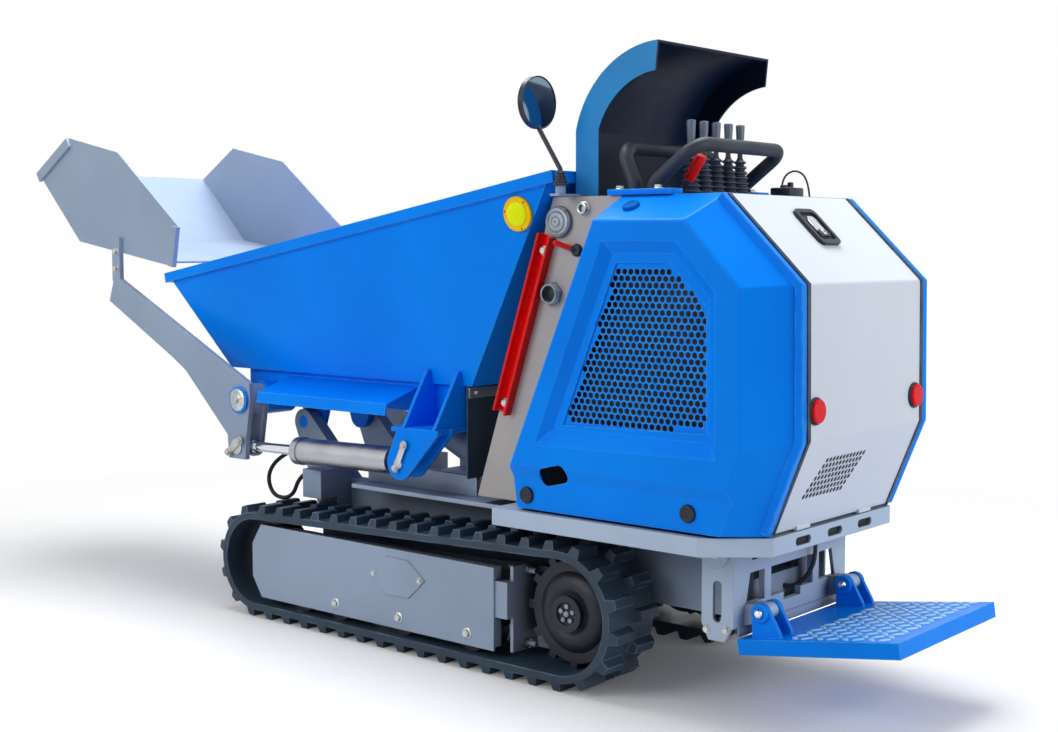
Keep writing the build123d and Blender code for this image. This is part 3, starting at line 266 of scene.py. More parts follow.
# A lighter copy of the silver paint for the deck and rear frame: painted light, with painted shade in its
# hollows
LIT_SILVER = paint(
    "silver_painted_lit", srgb(176, 193, 214), srgb(164, 181, 203), 0.45,
    metallic=0.1, wear_and_highlight=RUBBED_SILVER, gloss=0.25, hollow_shade=HOLLOW_SHADE_COLOUR,
)
TANK_GREY = paint(
    "tank_paint", srgb(176, 171, 168), srgb(163, 159, 157), 0.45,
    coat=0.1, metallic=0.1, wear_and_highlight=srgb(196, 192, 188), gloss=0.35,
)
WHITE_GREY = paint(
    "door_paint", srgb(206, 214, 226), srgb(202, 210, 223), 0.4,
    coat=0.08, wear_and_highlight=srgb(226, 230, 236), gloss=0.25,
)
RED = paint(
    "red_paint", srgb(240, 0, 4), srgb(220, 0, 3), 0.3,
    coat=0.12, wear_and_highlight=srgb(236, 90, 80), gloss=0.15,
)
# Track rubber: black with a painted bluish sheen in its base colour, and painted glints with wear along the
# edges
RUBBER_AND_SHEEN = soft_black("track_rubber_and_sheen", srgb(38, 53, 68), srgb(122, 152, 180), 0.48, grain=90, depth=0.0012)
BOOT = soft_black("boot_rubber", srgb(40, 48, 64), srgb(112, 126, 148), 0.36, grain=160, depth=0.0004)
FOAM = soft_black("bar_foam", srgb(34, 42, 54), srgb(84, 98, 118), 0.5, grain=160, depth=0.0006)
PLASTIC = soft_black("black_plastic", srgb(24, 30, 40), srgb(66, 80, 100), 0.36, grain=220, depth=0.0004)
HANDLE = soft_black("lever_handle", srgb(84, 96, 112), srgb(160, 174, 192), 0.2, grain=300, depth=0.0002)
DARK_STEEL = soft_black("dark_steel", srgb(27, 29, 39), srgb(76, 78, 92), 0.42, grain=60, depth=0.0012)
IRON = soft_black("cast_iron", srgb(29, 33, 42), srgb(64, 71, 82), 0.6, grain=50, depth=0.0015)
# Satin black cowl, with a painted blue reflection on its outward flanks
COWL = cowl_black("cowl_black", srgb(38, 130, 192), srgb(14, 27, 50))
CHROME = metal("chrome", srgb(226, 228, 232), srgb(206, 209, 214), 0.1, stretch=(1, 14, 14))
ZINC = metal("zinc", srgb(196, 198, 198), srgb(164, 166, 166), 0.32)
GUNMETAL = metal("gunmetal", srgb(134, 144, 152), srgb(104, 112, 122), 0.38, scale=25)
BARREL = metal("barrel_steel", srgb(172, 174, 179), srgb(160, 162, 168), 0.38, scale=12)
MIRROR = metal("mirror_glass", srgb(128, 148, 168), srgb(112, 134, 156), 0.06, scale=6)
RED_LENS = lens("red_lens", srgb(232, 18, 34), srgb(176, 6, 18))
AMBER_LENS = lens("amber_lens", srgb(255, 206, 6), srgb(246, 176, 2))
LEMON_LENS = lens("lemon_lens", srgb(238, 252, 0), srgb(230, 240, 0))

SLOT_LOOKS = {
    "blue_paint": BLUE,
    "silver_paint": SILVER,
    "rubber": RUBBER_AND_SHEEN,
    "black_plastic": PLASTIC,
    "chrome": CHROME,
    "dark_steel": DARK_STEEL,
    "cast_iron": IRON,
    "red_paint": RED,
    "red_lens": RED_LENS,
    "amber_lens": AMBER_LENS,
}
NODE_LOOKS = {
    "rear_door": WHITE_GREY,
    "loader_barrel_left": BARREL,
    "loader_barrel_right": BARREL,
    "tank": TANK_GREY,
    "chassis_frame": SILVER_HOLLOW_SHADE,
    "deck": LIT_SILVER,
    "rear_frame": LIT_SILVER,
    "track_frame_left": SILVER_HOLLOW_SHADE,
    "track_frame_right": SILVER_HOLLOW_SHADE,
    "cowl": COWL,
    "handlebars": FOAM,
}
for name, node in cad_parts.items():
    for place in node.material_slots:
        slot = place.material.name.split(".")[0] if place.material else ""
        place.material = NODE_LOOKS.get(name) or SLOT_LOOKS.get(slot, SILVER)


# Mesh tools

MIDDLE = 0.777904
SIDES = {"left": 1, "right": -1}
FORWARD = Vector((1, 0, 0))
LEFT = Vector((0, 1, 0))
UP = Vector((0, 0, 1))


def at(x, y, z):
    """A point given from the drive wheel's datum, in the part's frame."""
    return Vector((x - MIDDLE, y, z))


def make(name, bm, look, body, replaces=(), angle=38):
    """A mesh piece that rides on a body, smooth up to an angle."""
    bmesh.ops.recalc_face_normals(bm, faces=bm.faces)
    mesh = bpy.data.meshes.new(name)
    bm.to_mesh(mesh)
    bm.free()
    mesh.shade_smooth()
    mesh.set_sharp_from_angle(angle=radians(angle))
    mesh.materials.append(look)
    piece = bpy.data.objects.new(name, mesh)
    bpy.context.collection.objects.link(piece)
    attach(piece, body)
    if replaces:
        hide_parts(*replaces)


def ring(bm, centre, u, v, radii):
    count = len(radii)
    return [
        bm.verts.new(centre + (u * cos(2 * pi * i / count) + v * sin(2 * pi * i / count)) * r)
        for i, r in enumerate(radii)
    ]


def skin(bm, rows):
    """Faces between rows of vertices that each run round a section."""
    for a, b in zip(rows, rows[1:]):
        for i in range(len(a)):
            j = (i + 1) % len(a)
            bm.faces.new((a[i], a[j], b[j], b[i]))


def bar(bm, rows):
    """A skin with both its ends closed."""
    skin(bm, rows)
    bm.faces.new(rows[0])
    bm.faces.new(rows[-1][::-1])


def turn(bm, profile, origin, axis, steps=24, ripple=0.0):
    """A (radius, height) profile turned about an axis, with a fluted radius if asked."""
    axis = Vector(axis).normalized()
    u = axis.orthogonal().normalized()
    v = axis.cross(u)
    rows = []
    for radius, height in profile:
        centre = Vector(origin) + axis * height
        if radius == 0:
            rows.append([bm.verts.new(centre)])
        else:
            rows.append(ring(bm, centre, u, v, [radius - ripple * (i % 2) for i in range(steps)]))
    for a, b in zip(rows, rows[1:]):
        for i in range(steps):
            j = (i + 1) % steps
            if len(a) == 1:
                bm.faces.new((a[0], b[i], b[j]))
            elif len(b) == 1:
                bm.faces.new((a[i], a[j], b[0]))
            else:
                bm.faces.new((a[i], a[j], b[j], b[i]))


def head(wide, shoulder, crown, top, foot=0):
    """The profile of a round head, full width up to its shoulder and eased to a flat crown."""
    return [(0, foot), (wide, foot), (wide, shoulder), (crown, top), (0, top)]


def bolt(bm, origin, axis, size, washer=True):
    """A chamfered hexagon head on a washer; size is the head's radius."""
    seat = 0
    if washer:
        wide = size * 1.35
        turn(bm, head(wide, 0.0012, wide * 0.93, 0.002, foot=-0.002), origin, axis)
        seat = 0.0015
    high = size * 0.75
    turn(bm, head(size, seat + high * 0.8, size * 0.86, seat + high, foot=seat), origin, axis, 6)


def oblong(a0, a1, b0, b1):
    return (a0, b0), (a1, b0), (a1, b1), (a0, b1)


def slab(bm, corners, push, bevel=0.0015):
    """A flat plate from its corners, pushed along a vector, with eased edges."""
    low = [bm.verts.new(Vector(c)) for c in corners]
    high = [bm.verts.new(Vector(c) + Vector(push)) for c in corners]
    faces = [bm.faces.new(low), bm.faces.new(high[::-1])]
    for i in range(len(low)):
        j = (i + 1) % len(low)
        faces.append(bm.faces.new((low[i], high[i], high[j], low[j])))
    bmesh.ops.recalc_face_normals(bm, faces=faces)
    edges = list(dict.fromkeys(e for f in faces for e in f.edges))
    bmesh.ops.bevel(bm, geom=edges, offset=bevel, segments=2, affect="EDGES", profile=0.5)


def depth_inside(x, z, corners):
    """How far a point lies inside a convex outline, negative where it lies outside."""
    pairs = list(zip(corners, corners[1:] + corners[:1]))
    area = sum(x0 * z1 - x1 * z0 for (x0, z0), (x1, z1) in pairs)
    near = 1e9
    for (x0, z0), (x1, z1) in pairs:
        reach = ((x1 - x0) * (z - z0) - (z1 - z0) * (x - x0)) / sqrt((x1 - x0) ** 2 + (z1 - z0) ** 2)
        near = min(near, reach if area > 0 else -reach)
    return near


def mesh_sheet(bm, corners, pitch, hole, place, thick):
    """A honeycomb sheet: holed cells inside the outline, whole cells round them."""
    corner_reach = pitch / sqrt(3)
    hole_reach = hole / sqrt(3)
    rise = pitch * sqrt(3) / 2
    spokes = [(sin(pi / 3 * i), cos(pi / 3 * i)) for i in range(6)]
    shared = {}

    def vert(x, z, layer):
        key = (round(x * 1e5), round(z * 1e5), layer)
        if key not in shared:
            shared[key] = bm.verts.new(place(x, z, -thick * layer))
        return shared[key]

    xs, zs = zip(*corners)
    rows = int((max(zs) - min(zs)) / rise) + 4
    columns = int((max(xs) - min(xs)) / pitch) + 4
    for row in range(-2, rows):
        for column in range(-2, columns):
            x = min(xs) + (column + 0.5 * (row % 2)) * pitch
            z = min(zs) + row * rise
            near = depth_inside(x, z, corners)
            if near < -pitch * 0.9:
                continue
            outer = [(x + a * corner_reach, z + b * corner_reach) for a, b in spokes]
            if near < hole * 0.45:
                for layer in (0, 1):
                    bm.faces.new([vert(*p, layer) for p in outer])
                continue
            inner = [(x + a * hole_reach, z + b * hole_reach) for a, b in spokes]
            for i in range(6):
                j = (i + 1) % 6
                for layer in (0, 1):
                    bm.faces.new([vert(*p, layer) for p in (outer[i], outer[j], inner[j], inner[i])])
                wall = (*inner[i], 0), (*inner[j], 0), (*inner[j], 1), (*inner[i], 1)
                bm.faces.new([vert(*p) for p in wall])


def hose(name, route, diameter, look, body):
    """A round hose on a smooth line through its control points, with both ends in the object."""
    points = [at(*p) for p in route]
    data = bpy.data.curves.new(name, "CURVE")
    data.dimensions = "3D"
    data.bevel_depth = diameter / 2
    data.bevel_resolution = 5
    data.use_fill_caps = True
    line = data.splines.new("NURBS")
    line.points.add(len(points) - 1)
    for point, place in zip(line.points, points):
        point.co = (*place, 1)
    line.order_u = 3
    line.use_endpoint_u = True
    line.resolution_u = 12
    data.materials.append(look)
    piece = bpy.data.objects.new(name, data)
    bpy.context.collection.objects.link(piece)
    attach(piece, body)


# Hoses and leads

FRONT_HOSE = [
    (1.109, 0.25, 0.428), (1.150, 0.25, 0.412), (1.185, 0.25, 0.340), (1.275, 0.25, 0.335),
    (1.310, 0.245, 0.405), (1.262, 0.215, 0.470), (1.200, 0.151, 0.500),
]
TAIL_HOSE = [
    (-0.420, -0.085, 0.4265), (-0.422, -0.083, 0.370), (-0.424, -0.072, 0.300), (-0.385, -0.045, 0.245),
    (-0.325, -0.020, 0.262), (-0.305, -0.008, 0.340), (-0.300, 0, 0.4265),
]
TAIL_CABLE = [
    (-0.340, -0.120, 0.4265), (-0.345, -0.118, 0.360), (-0.352, -0.105, 0.300), (-0.330, -0.075, 0.262),
    (-0.285, -0.050, 0.275), (-0.270, -0.040, 0.340), (-0.265, -0.030, 0.4265),
]
SWITCH_LEAD = [
    (-0.250, -0.182, 1.252), (-0.252, -0.184, 1.282), (-0.285, -0.192, 1.300), (-0.318, -0.198, 1.275),
    (-0.322, -0.200, 1.2255),
]
hose("front_hose", FRONT_HOSE, 0.0125, IRON, "chassis")
hose("tail_hose", TAIL_HOSE, 0.011, PLASTIC, "chassis")
hose("tail_cable", TAIL_CABLE, 0.008, DARK_STEEL, "chassis")
hose("switch_lead", SWITCH_LEAD, 0.005, PLASTIC, "chassis")


# Bolts of the track guards, the tension plates, the rear frame and the grab loops' feet

GUARD_FACE = 0.385
RAISED_FACE = 0.389
TENSION_Y = 0.3
POST_FACE = 0.274
GUSSET_FACE = 0.268
TENSION_NUT = head(0.013, 0.009, 0.011, 0.011)
FOOT_TOP = 1.2395

bm = bmesh.new()
for side in SIDES.values():
    out = Vector((0, side, 0))
    for x in (0.338, 0.592, 0.845):
        bolt(bm, at(x, side * GUARD_FACE, 0.094), out, 0.011)
    for x, z in ((0.507, 0.208), (0.684, 0.204)):
        bolt(bm, at(x, side * RAISED_FACE, z), out, 0.007)
    for z in (0.075, 0.268):
        for x in (0.193, 0.214):
            turn(bm, TENSION_NUT, at(x, side * TENSION_Y, z), FORWARD, 6)
    bolt(bm, at(-0.352, side * POST_FACE, 0.384), out, 0.012)
    for x, z in ((-0.33, 0.195), (-0.385, 0.2)):
        bolt(bm, at(x, side * GUSSET_FACE, z), out, 0.008)
for y in (0.283, -0.131):
    for x in (-0.078, -0.192):
        bolt(bm, at(x, y, FOOT_TOP), UP, 0.0095)
make("chassis_bolts", bm, ZINC, "chassis")


# Drive wheels

HUB = at(0.030, 0, 0.188)
HUB_FACE = 0.349
RIM_FACE = 0.3335


def bolt_circle(bm, side, count, radius, face, size, start=0.0):
    """Bolt heads in a circle round a drive wheel's hub."""
    for i in range(count):
        a = 2 * pi * i / count + start
        place = HUB + Vector((radius * cos(a), side * face, radius * sin(a)))
        bolt(bm, place, (0, side, 0), size, washer=False)


for tag, side in SIDES.items():
    nuts = bmesh.new()
    bolt_circle(nuts, side, 5, 0.019, HUB_FACE, 0.0075, start=0.3)
    turn(nuts, head(0.009, 0.006, 0.006, 0.009), HUB + Vector((0, side * HUB_FACE, 0)), (0, side, 0), 8)
    make(f"hub_nuts_{tag}", nuts, GUNMETAL, "chassis")
    bm = bmesh.new()
    bolt_circle(bm, side, 9, 0.084, RIM_FACE, 0.007)
    make(f"hub_bolts_{tag}", bm, DARK_STEEL, "chassis")


# Side panels

GRILLE = [(0.028, 0.664), (-0.134, 1.063), (-0.283, 1.064), (-0.390, 0.965), (-0.393, 0.676)]
GRILLE_FACE = 0.3678
GRILLE_PITCH = 0.0182
GRILLE_HOLE = 0.0140
GRILLE_THICK = 0.0024
SHADE_SHEET_FACE = 0.347
SHADE_SHEET_THICK = 0.002
PANEL_FACE = 0.378
FOLD_OUT = 0.4816
FOLD_UP = 0.876
KNOB = [
    (0, -0.001), (0.0215, -0.001), (0.0215, 0.004), (0.0195, 0.0075), (0.014, 0.0085),
    (0.0125, 0.0065), (0, 0.006),
]
for tag, side in SIDES.items():
    bm = bmesh.new()
    mesh_sheet(
        bm, GRILLE, GRILLE_PITCH, GRILLE_HOLE,
        lambda x, z, d: at(x, side * (GRILLE_FACE + d), z), GRILLE_THICK,
    )
    make(f"fine_grille_{tag}", bm, BLUE, "chassis", [f"grille_{tag}"])
    # Dark sheet behind each grille: painted shade seen through the holes
    bm = bmesh.new()
    slab(bm, [at(x, side * SHADE_SHEET_FACE, z) for x, z in GRILLE], (0, -side * SHADE_SHEET_THICK, 0), 0.0004)
    make(f"grille_shade_sheet_{tag}", bm, IRON, "chassis")
    bm = bmesh.new()
    turn(bm, KNOB, at(-0.154, side * 0.34, 1.195), (0, side * FOLD_OUT, FOLD_UP), 32)
    make(f"top_knob_{tag}", bm, DEEP_BLUE, "chassis")
    bm = bmesh.new()
    for x, z in ((0.137, 0.48), (-0.349, 0.489)):
        turn(bm, KNOB, at(x, side * PANEL_FACE, z), (0, side, 0), 32)
    make(f"panel_knobs_{tag}", bm, PLASTIC, "chassis")


# Tail door: DOOR is its folded side line, from the foot to the top edge

DOOR = [(-0.513, 0.446), (-0.602, 0.666), (-0.597, 1.017), (-0.386, 1.223)]
# Seals along both sides of the door
TOP_FOLD = 1.0
SEAL_INNER = 0.2706
SEAL_OUTER = 0.2836
SEAL_RISE = 0.0045
for tag, side in SIDES.items():
    bm = bmesh.new()
    rows = []
    for x, z in DOOR:
        facing = Vector((-1, 0, 0.25)) if z < TOP_FOLD else Vector((-0.8, 0, 0.6))
        out = facing.normalized() * SEAL_RISE
        low = at(x, side * SEAL_INNER, z)
        high = at(x, side * SEAL_OUTER, z)
        crown = (low + high) / 2 + out
        section = (low - out * 0.2, low + out * 0.7, crown, high + out * 0.7, high - out * 0.2)
        rows.append([bm.verts.new(p) for p in section])
    bar(bm, rows)
    make(f"door_seal_{tag}", bm, RUBBER_AND_SHEEN, "rear_door", angle=60)

# Lips of the side panels beside the door, as (y, rise) round their section
LIP = (
    (0.2885, -0.012), (0.2885, 0.0005), (0.2905, 0.002), (0.3055, 0.002), (0.3075, 0), (0.3075, -0.018),
)
for tag, side in SIDES.items():
    bm = bmesh.new()
    rows = []
    for i, (x, z) in enumerate(DOOR):
        ends = DOOR[max(i - 1, 0):i + 2]
        run = Vector((ends[-1][0] - ends[0][0], 0, ends[-1][1] - ends[0][1])).normalized()
        out = Vector((-run.z, 0, run.x))
        rows.append([bm.verts.new(at(x, side * y, z) + out * rise) for y, rise in LIP])
    bar(bm, rows)
    make(f"panel_lip_{tag}", bm, BLUE, "chassis")

# Rings round the tail lamps
LAMP_FACING = Vector((-0.9999, 0, 0.0142))
BEZEL = [
    (0.0283, 0), (0.0320, 0), (0.0320, 0.0035), (0.0305, 0.0062), (0.0283, 0.0062), (0.0283, 0),
]
bm = bmesh.new()
for y in (0.247, -0.240):
    turn(bm, BEZEL, at(-0.60105, y, 0.7327), LAMP_FACING, 36)
make("lamp_bezels", bm, PLASTIC, "rear_door")

# Dark sheet behind the door's small grille: painted shade seen through its holes
LOUVRE = ((0.242, 0.508), (0.172, 0.636), (-0.072, 0.636), (-0.010, 0.508))
LOUVRE_GAP = 0.0016
LOUVRE_SHADE_THICK = 0.0012
INWARD = Vector((0.927, 0, 0.375))
foot_x, foot_z = DOOR[0]
lean = (DOOR[1][0] - foot_x) / (DOOR[1][1] - foot_z)
bm = bmesh.new()
corners = [at(foot_x + (z - foot_z) * lean, y, z) + INWARD * LOUVRE_GAP for y, z in LOUVRE]
slab(bm, corners, INWARD * LOUVRE_SHADE_THICK, 0.0004)
make("door_grille_shade", bm, IRON, "rear_door")

# Lever in the latch's dish
LATCH_FACING = Vector((-0.7138, 0, 0.7004))
LATCH_UP = Vector((0.7004, 0, 0.7138))
LATCH = [(-0.021, -0.034), (0.021, -0.034), (0.021, 0.022), (0.012, 0.034), (-0.012, 0.034), (-0.021, 0.022)]
LATCH_LOCK = [
    (0, 0.004), (0.009, 0.004), (0.009, 0.0075), (0.0075, 0.0085), (0.003, 0.0085), (0.003, 0.006),
    (0, 0.006),
]
LATCH_RISE = 0.0032
LATCH_THICK = 0.005
LOCK_DROP = 0.022
seat = at(-0.4662, 0.02, 1.1447) + LATCH_FACING * LATCH_RISE
bm = bmesh.new()
slab(bm, [seat + Vector((0, a, 0)) + LATCH_UP * b for a, b in LATCH], LATCH_FACING * LATCH_THICK)
turn(bm, LATCH_LOCK, seat - LATCH_UP * LOCK_DROP, LATCH_FACING, 20)
make("latch_lever", bm, CHROME, "rear_door")


# Tank: filler cap, neck, prop bolts and lifting eye

TANK_FACE = 0.285
CAP = at(0.108, TANK_FACE, 1.163)
CAP_DISC = [
    (0, 0.0119), (0.036, 0.0119), (0.036, 0.0135), (0.0345, 0.0150), (0.0275, 0.0155), (0.0268, 0.0145),
    (0.0255, 0.0145), (0.0248, 0.0165), (0.0235, 0.0175), (0.0145, 0.0178), (0.0138, 0.0168),
    (0.0125, 0.0168), (0.0118, 0.0185), (0.0105, 0.0195), (0.0030, 0.0196), (0.0024, 0.0170), (0, 0.0170),
]
NECK = at(0.130, TANK_FACE, 0.982)
THREADS = 5
THREAD_PITCH = 0.0022
neck = [(0.0205, 0.004), (0.0262, 0.004)]
for i in range(THREADS):
    neck += [(0.0270, 0.0085 + i * THREAD_PITCH), (0.0258, 0.0096 + i * THREAD_PITCH)]
neck += [(0.0262, 0.0205), (0.0245, 0.0215), (0.0215, 0.0215), (0.0205, 0.0205), (0.0205, 0.004)]
bm = bmesh.new()
turn(bm, head(0.040, 0.010, 0.0385, 0.012), CAP, LEFT, 60, ripple=0.0012)
turn(bm, CAP_DISC, CAP, LEFT, 48)
turn(bm, head(0.031, 0.006, 0.029, 0.0078), NECK, LEFT, 6)
turn(bm, neck, NECK, LEFT, 40)
make("tank_cap_and_neck", bm, GUNMETAL, "chassis", ["tank_fittings"], 30)
# Dark disc down in the neck: painted shade in its bore
bm = bmesh.new()
turn(bm, head(0.0204, 0.0076, 0.019, 0.0082), NECK, LEFT, 28)
make("neck_bore_shade", bm, PLASTIC, "chassis")

# Bolts at both ends of the safety prop
PROP_FACE = 0.291
bm = bmesh.new()
for x, z in ((0.1545, 1.0912), (0.2855, 0.6957)):
    bolt(bm, at(x, PROP_FACE, z), LEFT, 0.010)
make("prop_bolts", bm, ZINC, "chassis")

# Ring of the lifting eye on its base
EYE = at(0.030, TANK_FACE, 1.196)
EYE_RADIUS = 0.012
EYE_WIRE = 0.0042
EYE_STEPS = 20
bm = bmesh.new()
turn(bm, head(0.017, 0.004, 0.015, 0.006), EYE, LEFT, 28)
rows = []
for i in range(EYE_STEPS):
    a = 2 * pi * i / EYE_STEPS
    centre = EYE + Vector((cos(a) * EYE_RADIUS, EYE_RADIUS, sin(a) * EYE_RADIUS))
    rows.append(ring(bm, centre, Vector((cos(a), 0, sin(a))), LEFT, [EYE_WIRE] * 8))
skin(bm, rows + rows[:1])
make("lifting_eye", bm, ZINC, "chassis")


# Red levers on the tank's side and on the left grab loop

SIDE_LEVER = at(0.052, 0.290, 1.092)
LOOP_LEVER = at(-0.222, 0.215, 1.245)
LOOP_LEVER_WAY = (-0.57, 0.04, 0.82)
SIDE_GRIP = [
    (0, 0.010), (0.0060, 0.010), (0.0070, 0.014), (0.0068, 0.044), (0.0075, 0.056), (0.0055, 0.061),
    (0, 0.062),
]
LOOP_GRIP = [
    (0, 0.018), (0.0105, 0.018), (0.0125, 0.021), (0.0128, 0.052), (0.0138, 0.066), (0.0138, 0.082),
    (0.0115, 0.087), (0, 0.088),
]
bm = bmesh.new()
turn(bm, head(0.016, 0.006, 0.013, 0.010, foot=-0.003), at(0.052, TANK_FACE, 1.092), LEFT, 28)
turn(bm, head(0.007, 0.014, 0.0055, 0.017), SIDE_LEVER, (0.6, 0.75, 0.28), 16)
turn(bm, [(0, -0.02), (0.0065, -0.02), (0.0065, 0.021), (0, 0.021)], LOOP_LEVER, LOOP_LEVER_WAY, 18)
make("lever_stems", bm, PLASTIC, "chassis")
bm = bmesh.new()
turn(bm, SIDE_GRIP, SIDE_LEVER, (0.83, 0.45, 0.33), 20)
turn(bm, LOOP_GRIP, LOOP_LEVER, LOOP_LEVER_WAY, 28)
make("red_grips", bm, RED, "chassis")


# Console: levers in ribbed boots, feet of the grab loops, switch box

CONSOLE = 1.225
LEVER_X = -0.200
LEVER_YS = (0.160, 0.105, 0.050, -0.005, -0.060)
RIBS = 7
RIB_PITCH = 0.0132
LEVER_HANDLE = [
    (0, 0.120), (0.0082, 0.120), (0.0088, 0.124), (0.0114, 0.178), (0.0108, 0.182), (0.0088, 0.183),
    (0.0080, 0.1815), (0, 0.1815),
]
lever_boot = [(0, 0), (0.027, 0), (0.027, 0.003)]
for i in range(RIBS):
    wide = 0.0274 - i * 0.0019
    low = 0.003 + i * RIB_PITCH
    lever_boot += [(wide - 0.0060, low + 0.001), (wide, low + 0.0055)]
    lever_boot += [(wide, low + 0.0073), (wide - 0.0070, low + 0.0124)]
lever_boot += [(0.0085, 0.096), (0.0075, 0.099), (0.0065, 0.101), (0.0065, 0.123), (0, 0.123)]
boots = bmesh.new()
handles = bmesh.new()
for y in LEVER_YS:
    turn(boots, lever_boot, at(LEVER_X, y, CONSOLE), UP, 28)
    turn(handles, LEVER_HANDLE, at(LEVER_X, y, CONSOLE), UP, 28)
make("lever_handles", handles, HANDLE, "chassis")
make("lever_boots", boots, BOOT, "chassis", ["levers"], 50)

# Plate that the boots stand on
PLATE_THICK = 0.0025
PLATE_SCREW = [(0, 0.002), (0.004, 0.002), (0.0035, 0.0045), (0, 0.005)]
bm = bmesh.new()
corners = [at(x, y, CONSOLE) for x, y in oblong(-0.165, -0.24, 0.2, -0.088)]
slab(bm, corners, UP * PLATE_THICK, 0.0008)
for x in (-0.171, -0.234):
    for y in (0.19, 0.05, -0.08):
        turn(bm, PLATE_SCREW, at(x, y, CONSOLE), UP, 12)
make("lever_plate", bm, DARK_STEEL, "chassis")

# Covers over the grab loops' feet
FOOT_BASE = 1.2252
FOOT_COVER = 0.0142
bm = bmesh.new()
for y in (0.270, -0.118):
    corners = [at(x, y + half, FOOT_BASE) for x, half in oblong(-0.0486, -0.2354, 0.0264, -0.0264)]
    slab(bm, corners, UP * FOOT_COVER)
make("bar_foot_cover", bm, BLUE, "chassis")

# Switch box with two buttons
BOX_HIGH = 0.028
BOX_ROUND = 0.004
bm = bmesh.new()
corners = [at(x, y, CONSOLE) for x, y in oblong(-0.225, -0.285, -0.165, -0.235)]
slab(bm, corners, UP * BOX_HIGH, BOX_ROUND)
turn(bm, head(0.010, 0.033, 0.008, 0.035, foot=0.027), at(-0.255, -0.185, CONSOLE), UP)
turn(bm, head(0.008, 0.040, 0.006, 0.043, foot=0.027), at(-0.255, -0.217, CONSOLE), UP)
make("switch_box", bm, PLASTIC, "chassis")


# Mirrors

MIRROR_Y = 0.33
MIRROR_GLASS = [
    (0, -0.001), (0.0628, -0.001), (0.0628, 0.0004), (0.047, 0.0022), (0.026, 0.0036), (0, 0.0042),
]
MIRROR_RIM = [
    (0.0625, 0.0), (0.0655, -0.002), (0.0657, 0.002), (0.0645, 0.003), (0.0625, 0.0015), (0.0625, 0.0),
]
MIRROR_BOOT = [
    (0, 0), (0.020, 0), (0.020, 0.004), (0.0165, 0.006), (0.0175, 0.011), (0.0145, 0.013), (0.0155, 0.018),
    (0.0125, 0.020), (0.0135, 0.025), (0.0105, 0.027), (0.0115, 0.032), (0.0085, 0.036), (0, 0.037),
]
for tag, side in SIDES.items():
    centre = at(0.140, side * MIRROR_Y, 1.458)
    foot = at(0.07, side * MIRROR_Y, 1.2505)
    bm = bmesh.new()
    turn(bm, MIRROR_GLASS, centre, -FORWARD, 48)
    make(f"mirror_glass_{tag}", bm, MIRROR, f"mirror_{tag}")
    bm = bmesh.new()
    turn(bm, MIRROR_RIM, centre, -FORWARD, 48)
    turn(bm, MIRROR_BOOT, foot, UP, 28)
    make(f"mirror_rim_{tag}", bm, PLASTIC, f"mirror_{tag}")


# Skip: round markers, pivot fixings, and a dark flap under its rear edge as painted shade

MARKER = [
    (0, 0), (0.045, 0), (0.045, 0.005), (0.0435, 0.0068), (0.034, 0.0076), (0.0325, 0.0070), (0, 0.0070),
]
MARKER_DOME = [
    (0, 0.0068), (0.0315, 0.0068), (0.0315, 0.0088), (0.029, 0.0108), (0.016, 0.0117), (0, 0.012),
]
MARKER_INSET = 0.0125
MARKER_SINK = 0.006
MARKER_CIRCLE = 0.0392
MARKER_SCREW = head(0.0024, 0.0078, 0.0016, 0.0086, foot=0.005)
low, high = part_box("skip_reflectors")
markers = bmesh.new()
domes = bmesh.new()
screws = bmesh.new()
for side in SIDES.values():
    out = Vector((-0.022, side * 0.989, -0.146)).normalized()
    middle = Vector(((low[0] + high[0]) / 2, side * (high[1] - MARKER_INSET), (low[2] + high[2]) / 2))
    base = middle - out * MARKER_SINK
    turn(markers, MARKER, base, out, 56)
    turn(domes, MARKER_DOME, base, out, 48)
    u = out.orthogonal().normalized()
    v = out.cross(u)
    for i in range(3):
        a = 2 * pi * i / 3 + 0.6
        turn(screws, MARKER_SCREW, base + (u * cos(a) + v * sin(a)) * MARKER_CIRCLE, out, 12)
make("marker_domes", domes, LEMON_LENS, "skip")
make("marker_screws", screws, DARK_STEEL, "skip")
make("side_markers", markers, AMBER_LENS, "skip", ["skip_reflectors"])

# Pins of the skip's brackets and arm pivots, with their keeper plates
KEEPER_THICK = 0.005
BRACKET_PIN_FACE = 0.362
SKIP_KEEPER_FACE = 0.3655
PIVOT_CAP_FACE = 0.374
PIVOT_BOLT_FACE = 0.379
SKIP_KEEPER = [(0.572, 0.570), (0.590, 0.578), (0.628, 0.496), (0.610, 0.488)]
bm = bmesh.new()
for side in SIDES.values():
    out = Vector((0, side, 0))
    turn(bm, head(0.0145, 0.005, 0.0125, 0.007), at(0.610, side * BRACKET_PIN_FACE, 0.513), out, 32)
    slab(bm, [at(x, side * SKIP_KEEPER_FACE, z) for x, z in SKIP_KEEPER], out * KEEPER_THICK)
    for x, z in ((0.583, 0.566), (0.617, 0.500)):
        bolt(bm, at(x, side * (SKIP_KEEPER_FACE + KEEPER_THICK), z), out, 0.0085)
    turn(bm, head(0.034, 0.003, 0.030, 0.006), at(1.283, side * PIVOT_CAP_FACE, 0.643), out, 40)
    bolt(bm, at(1.283, side * PIVOT_BOLT_FACE, 0.643), out, 0.013)
make("skip_fixings", bm, ZINC, "skip")

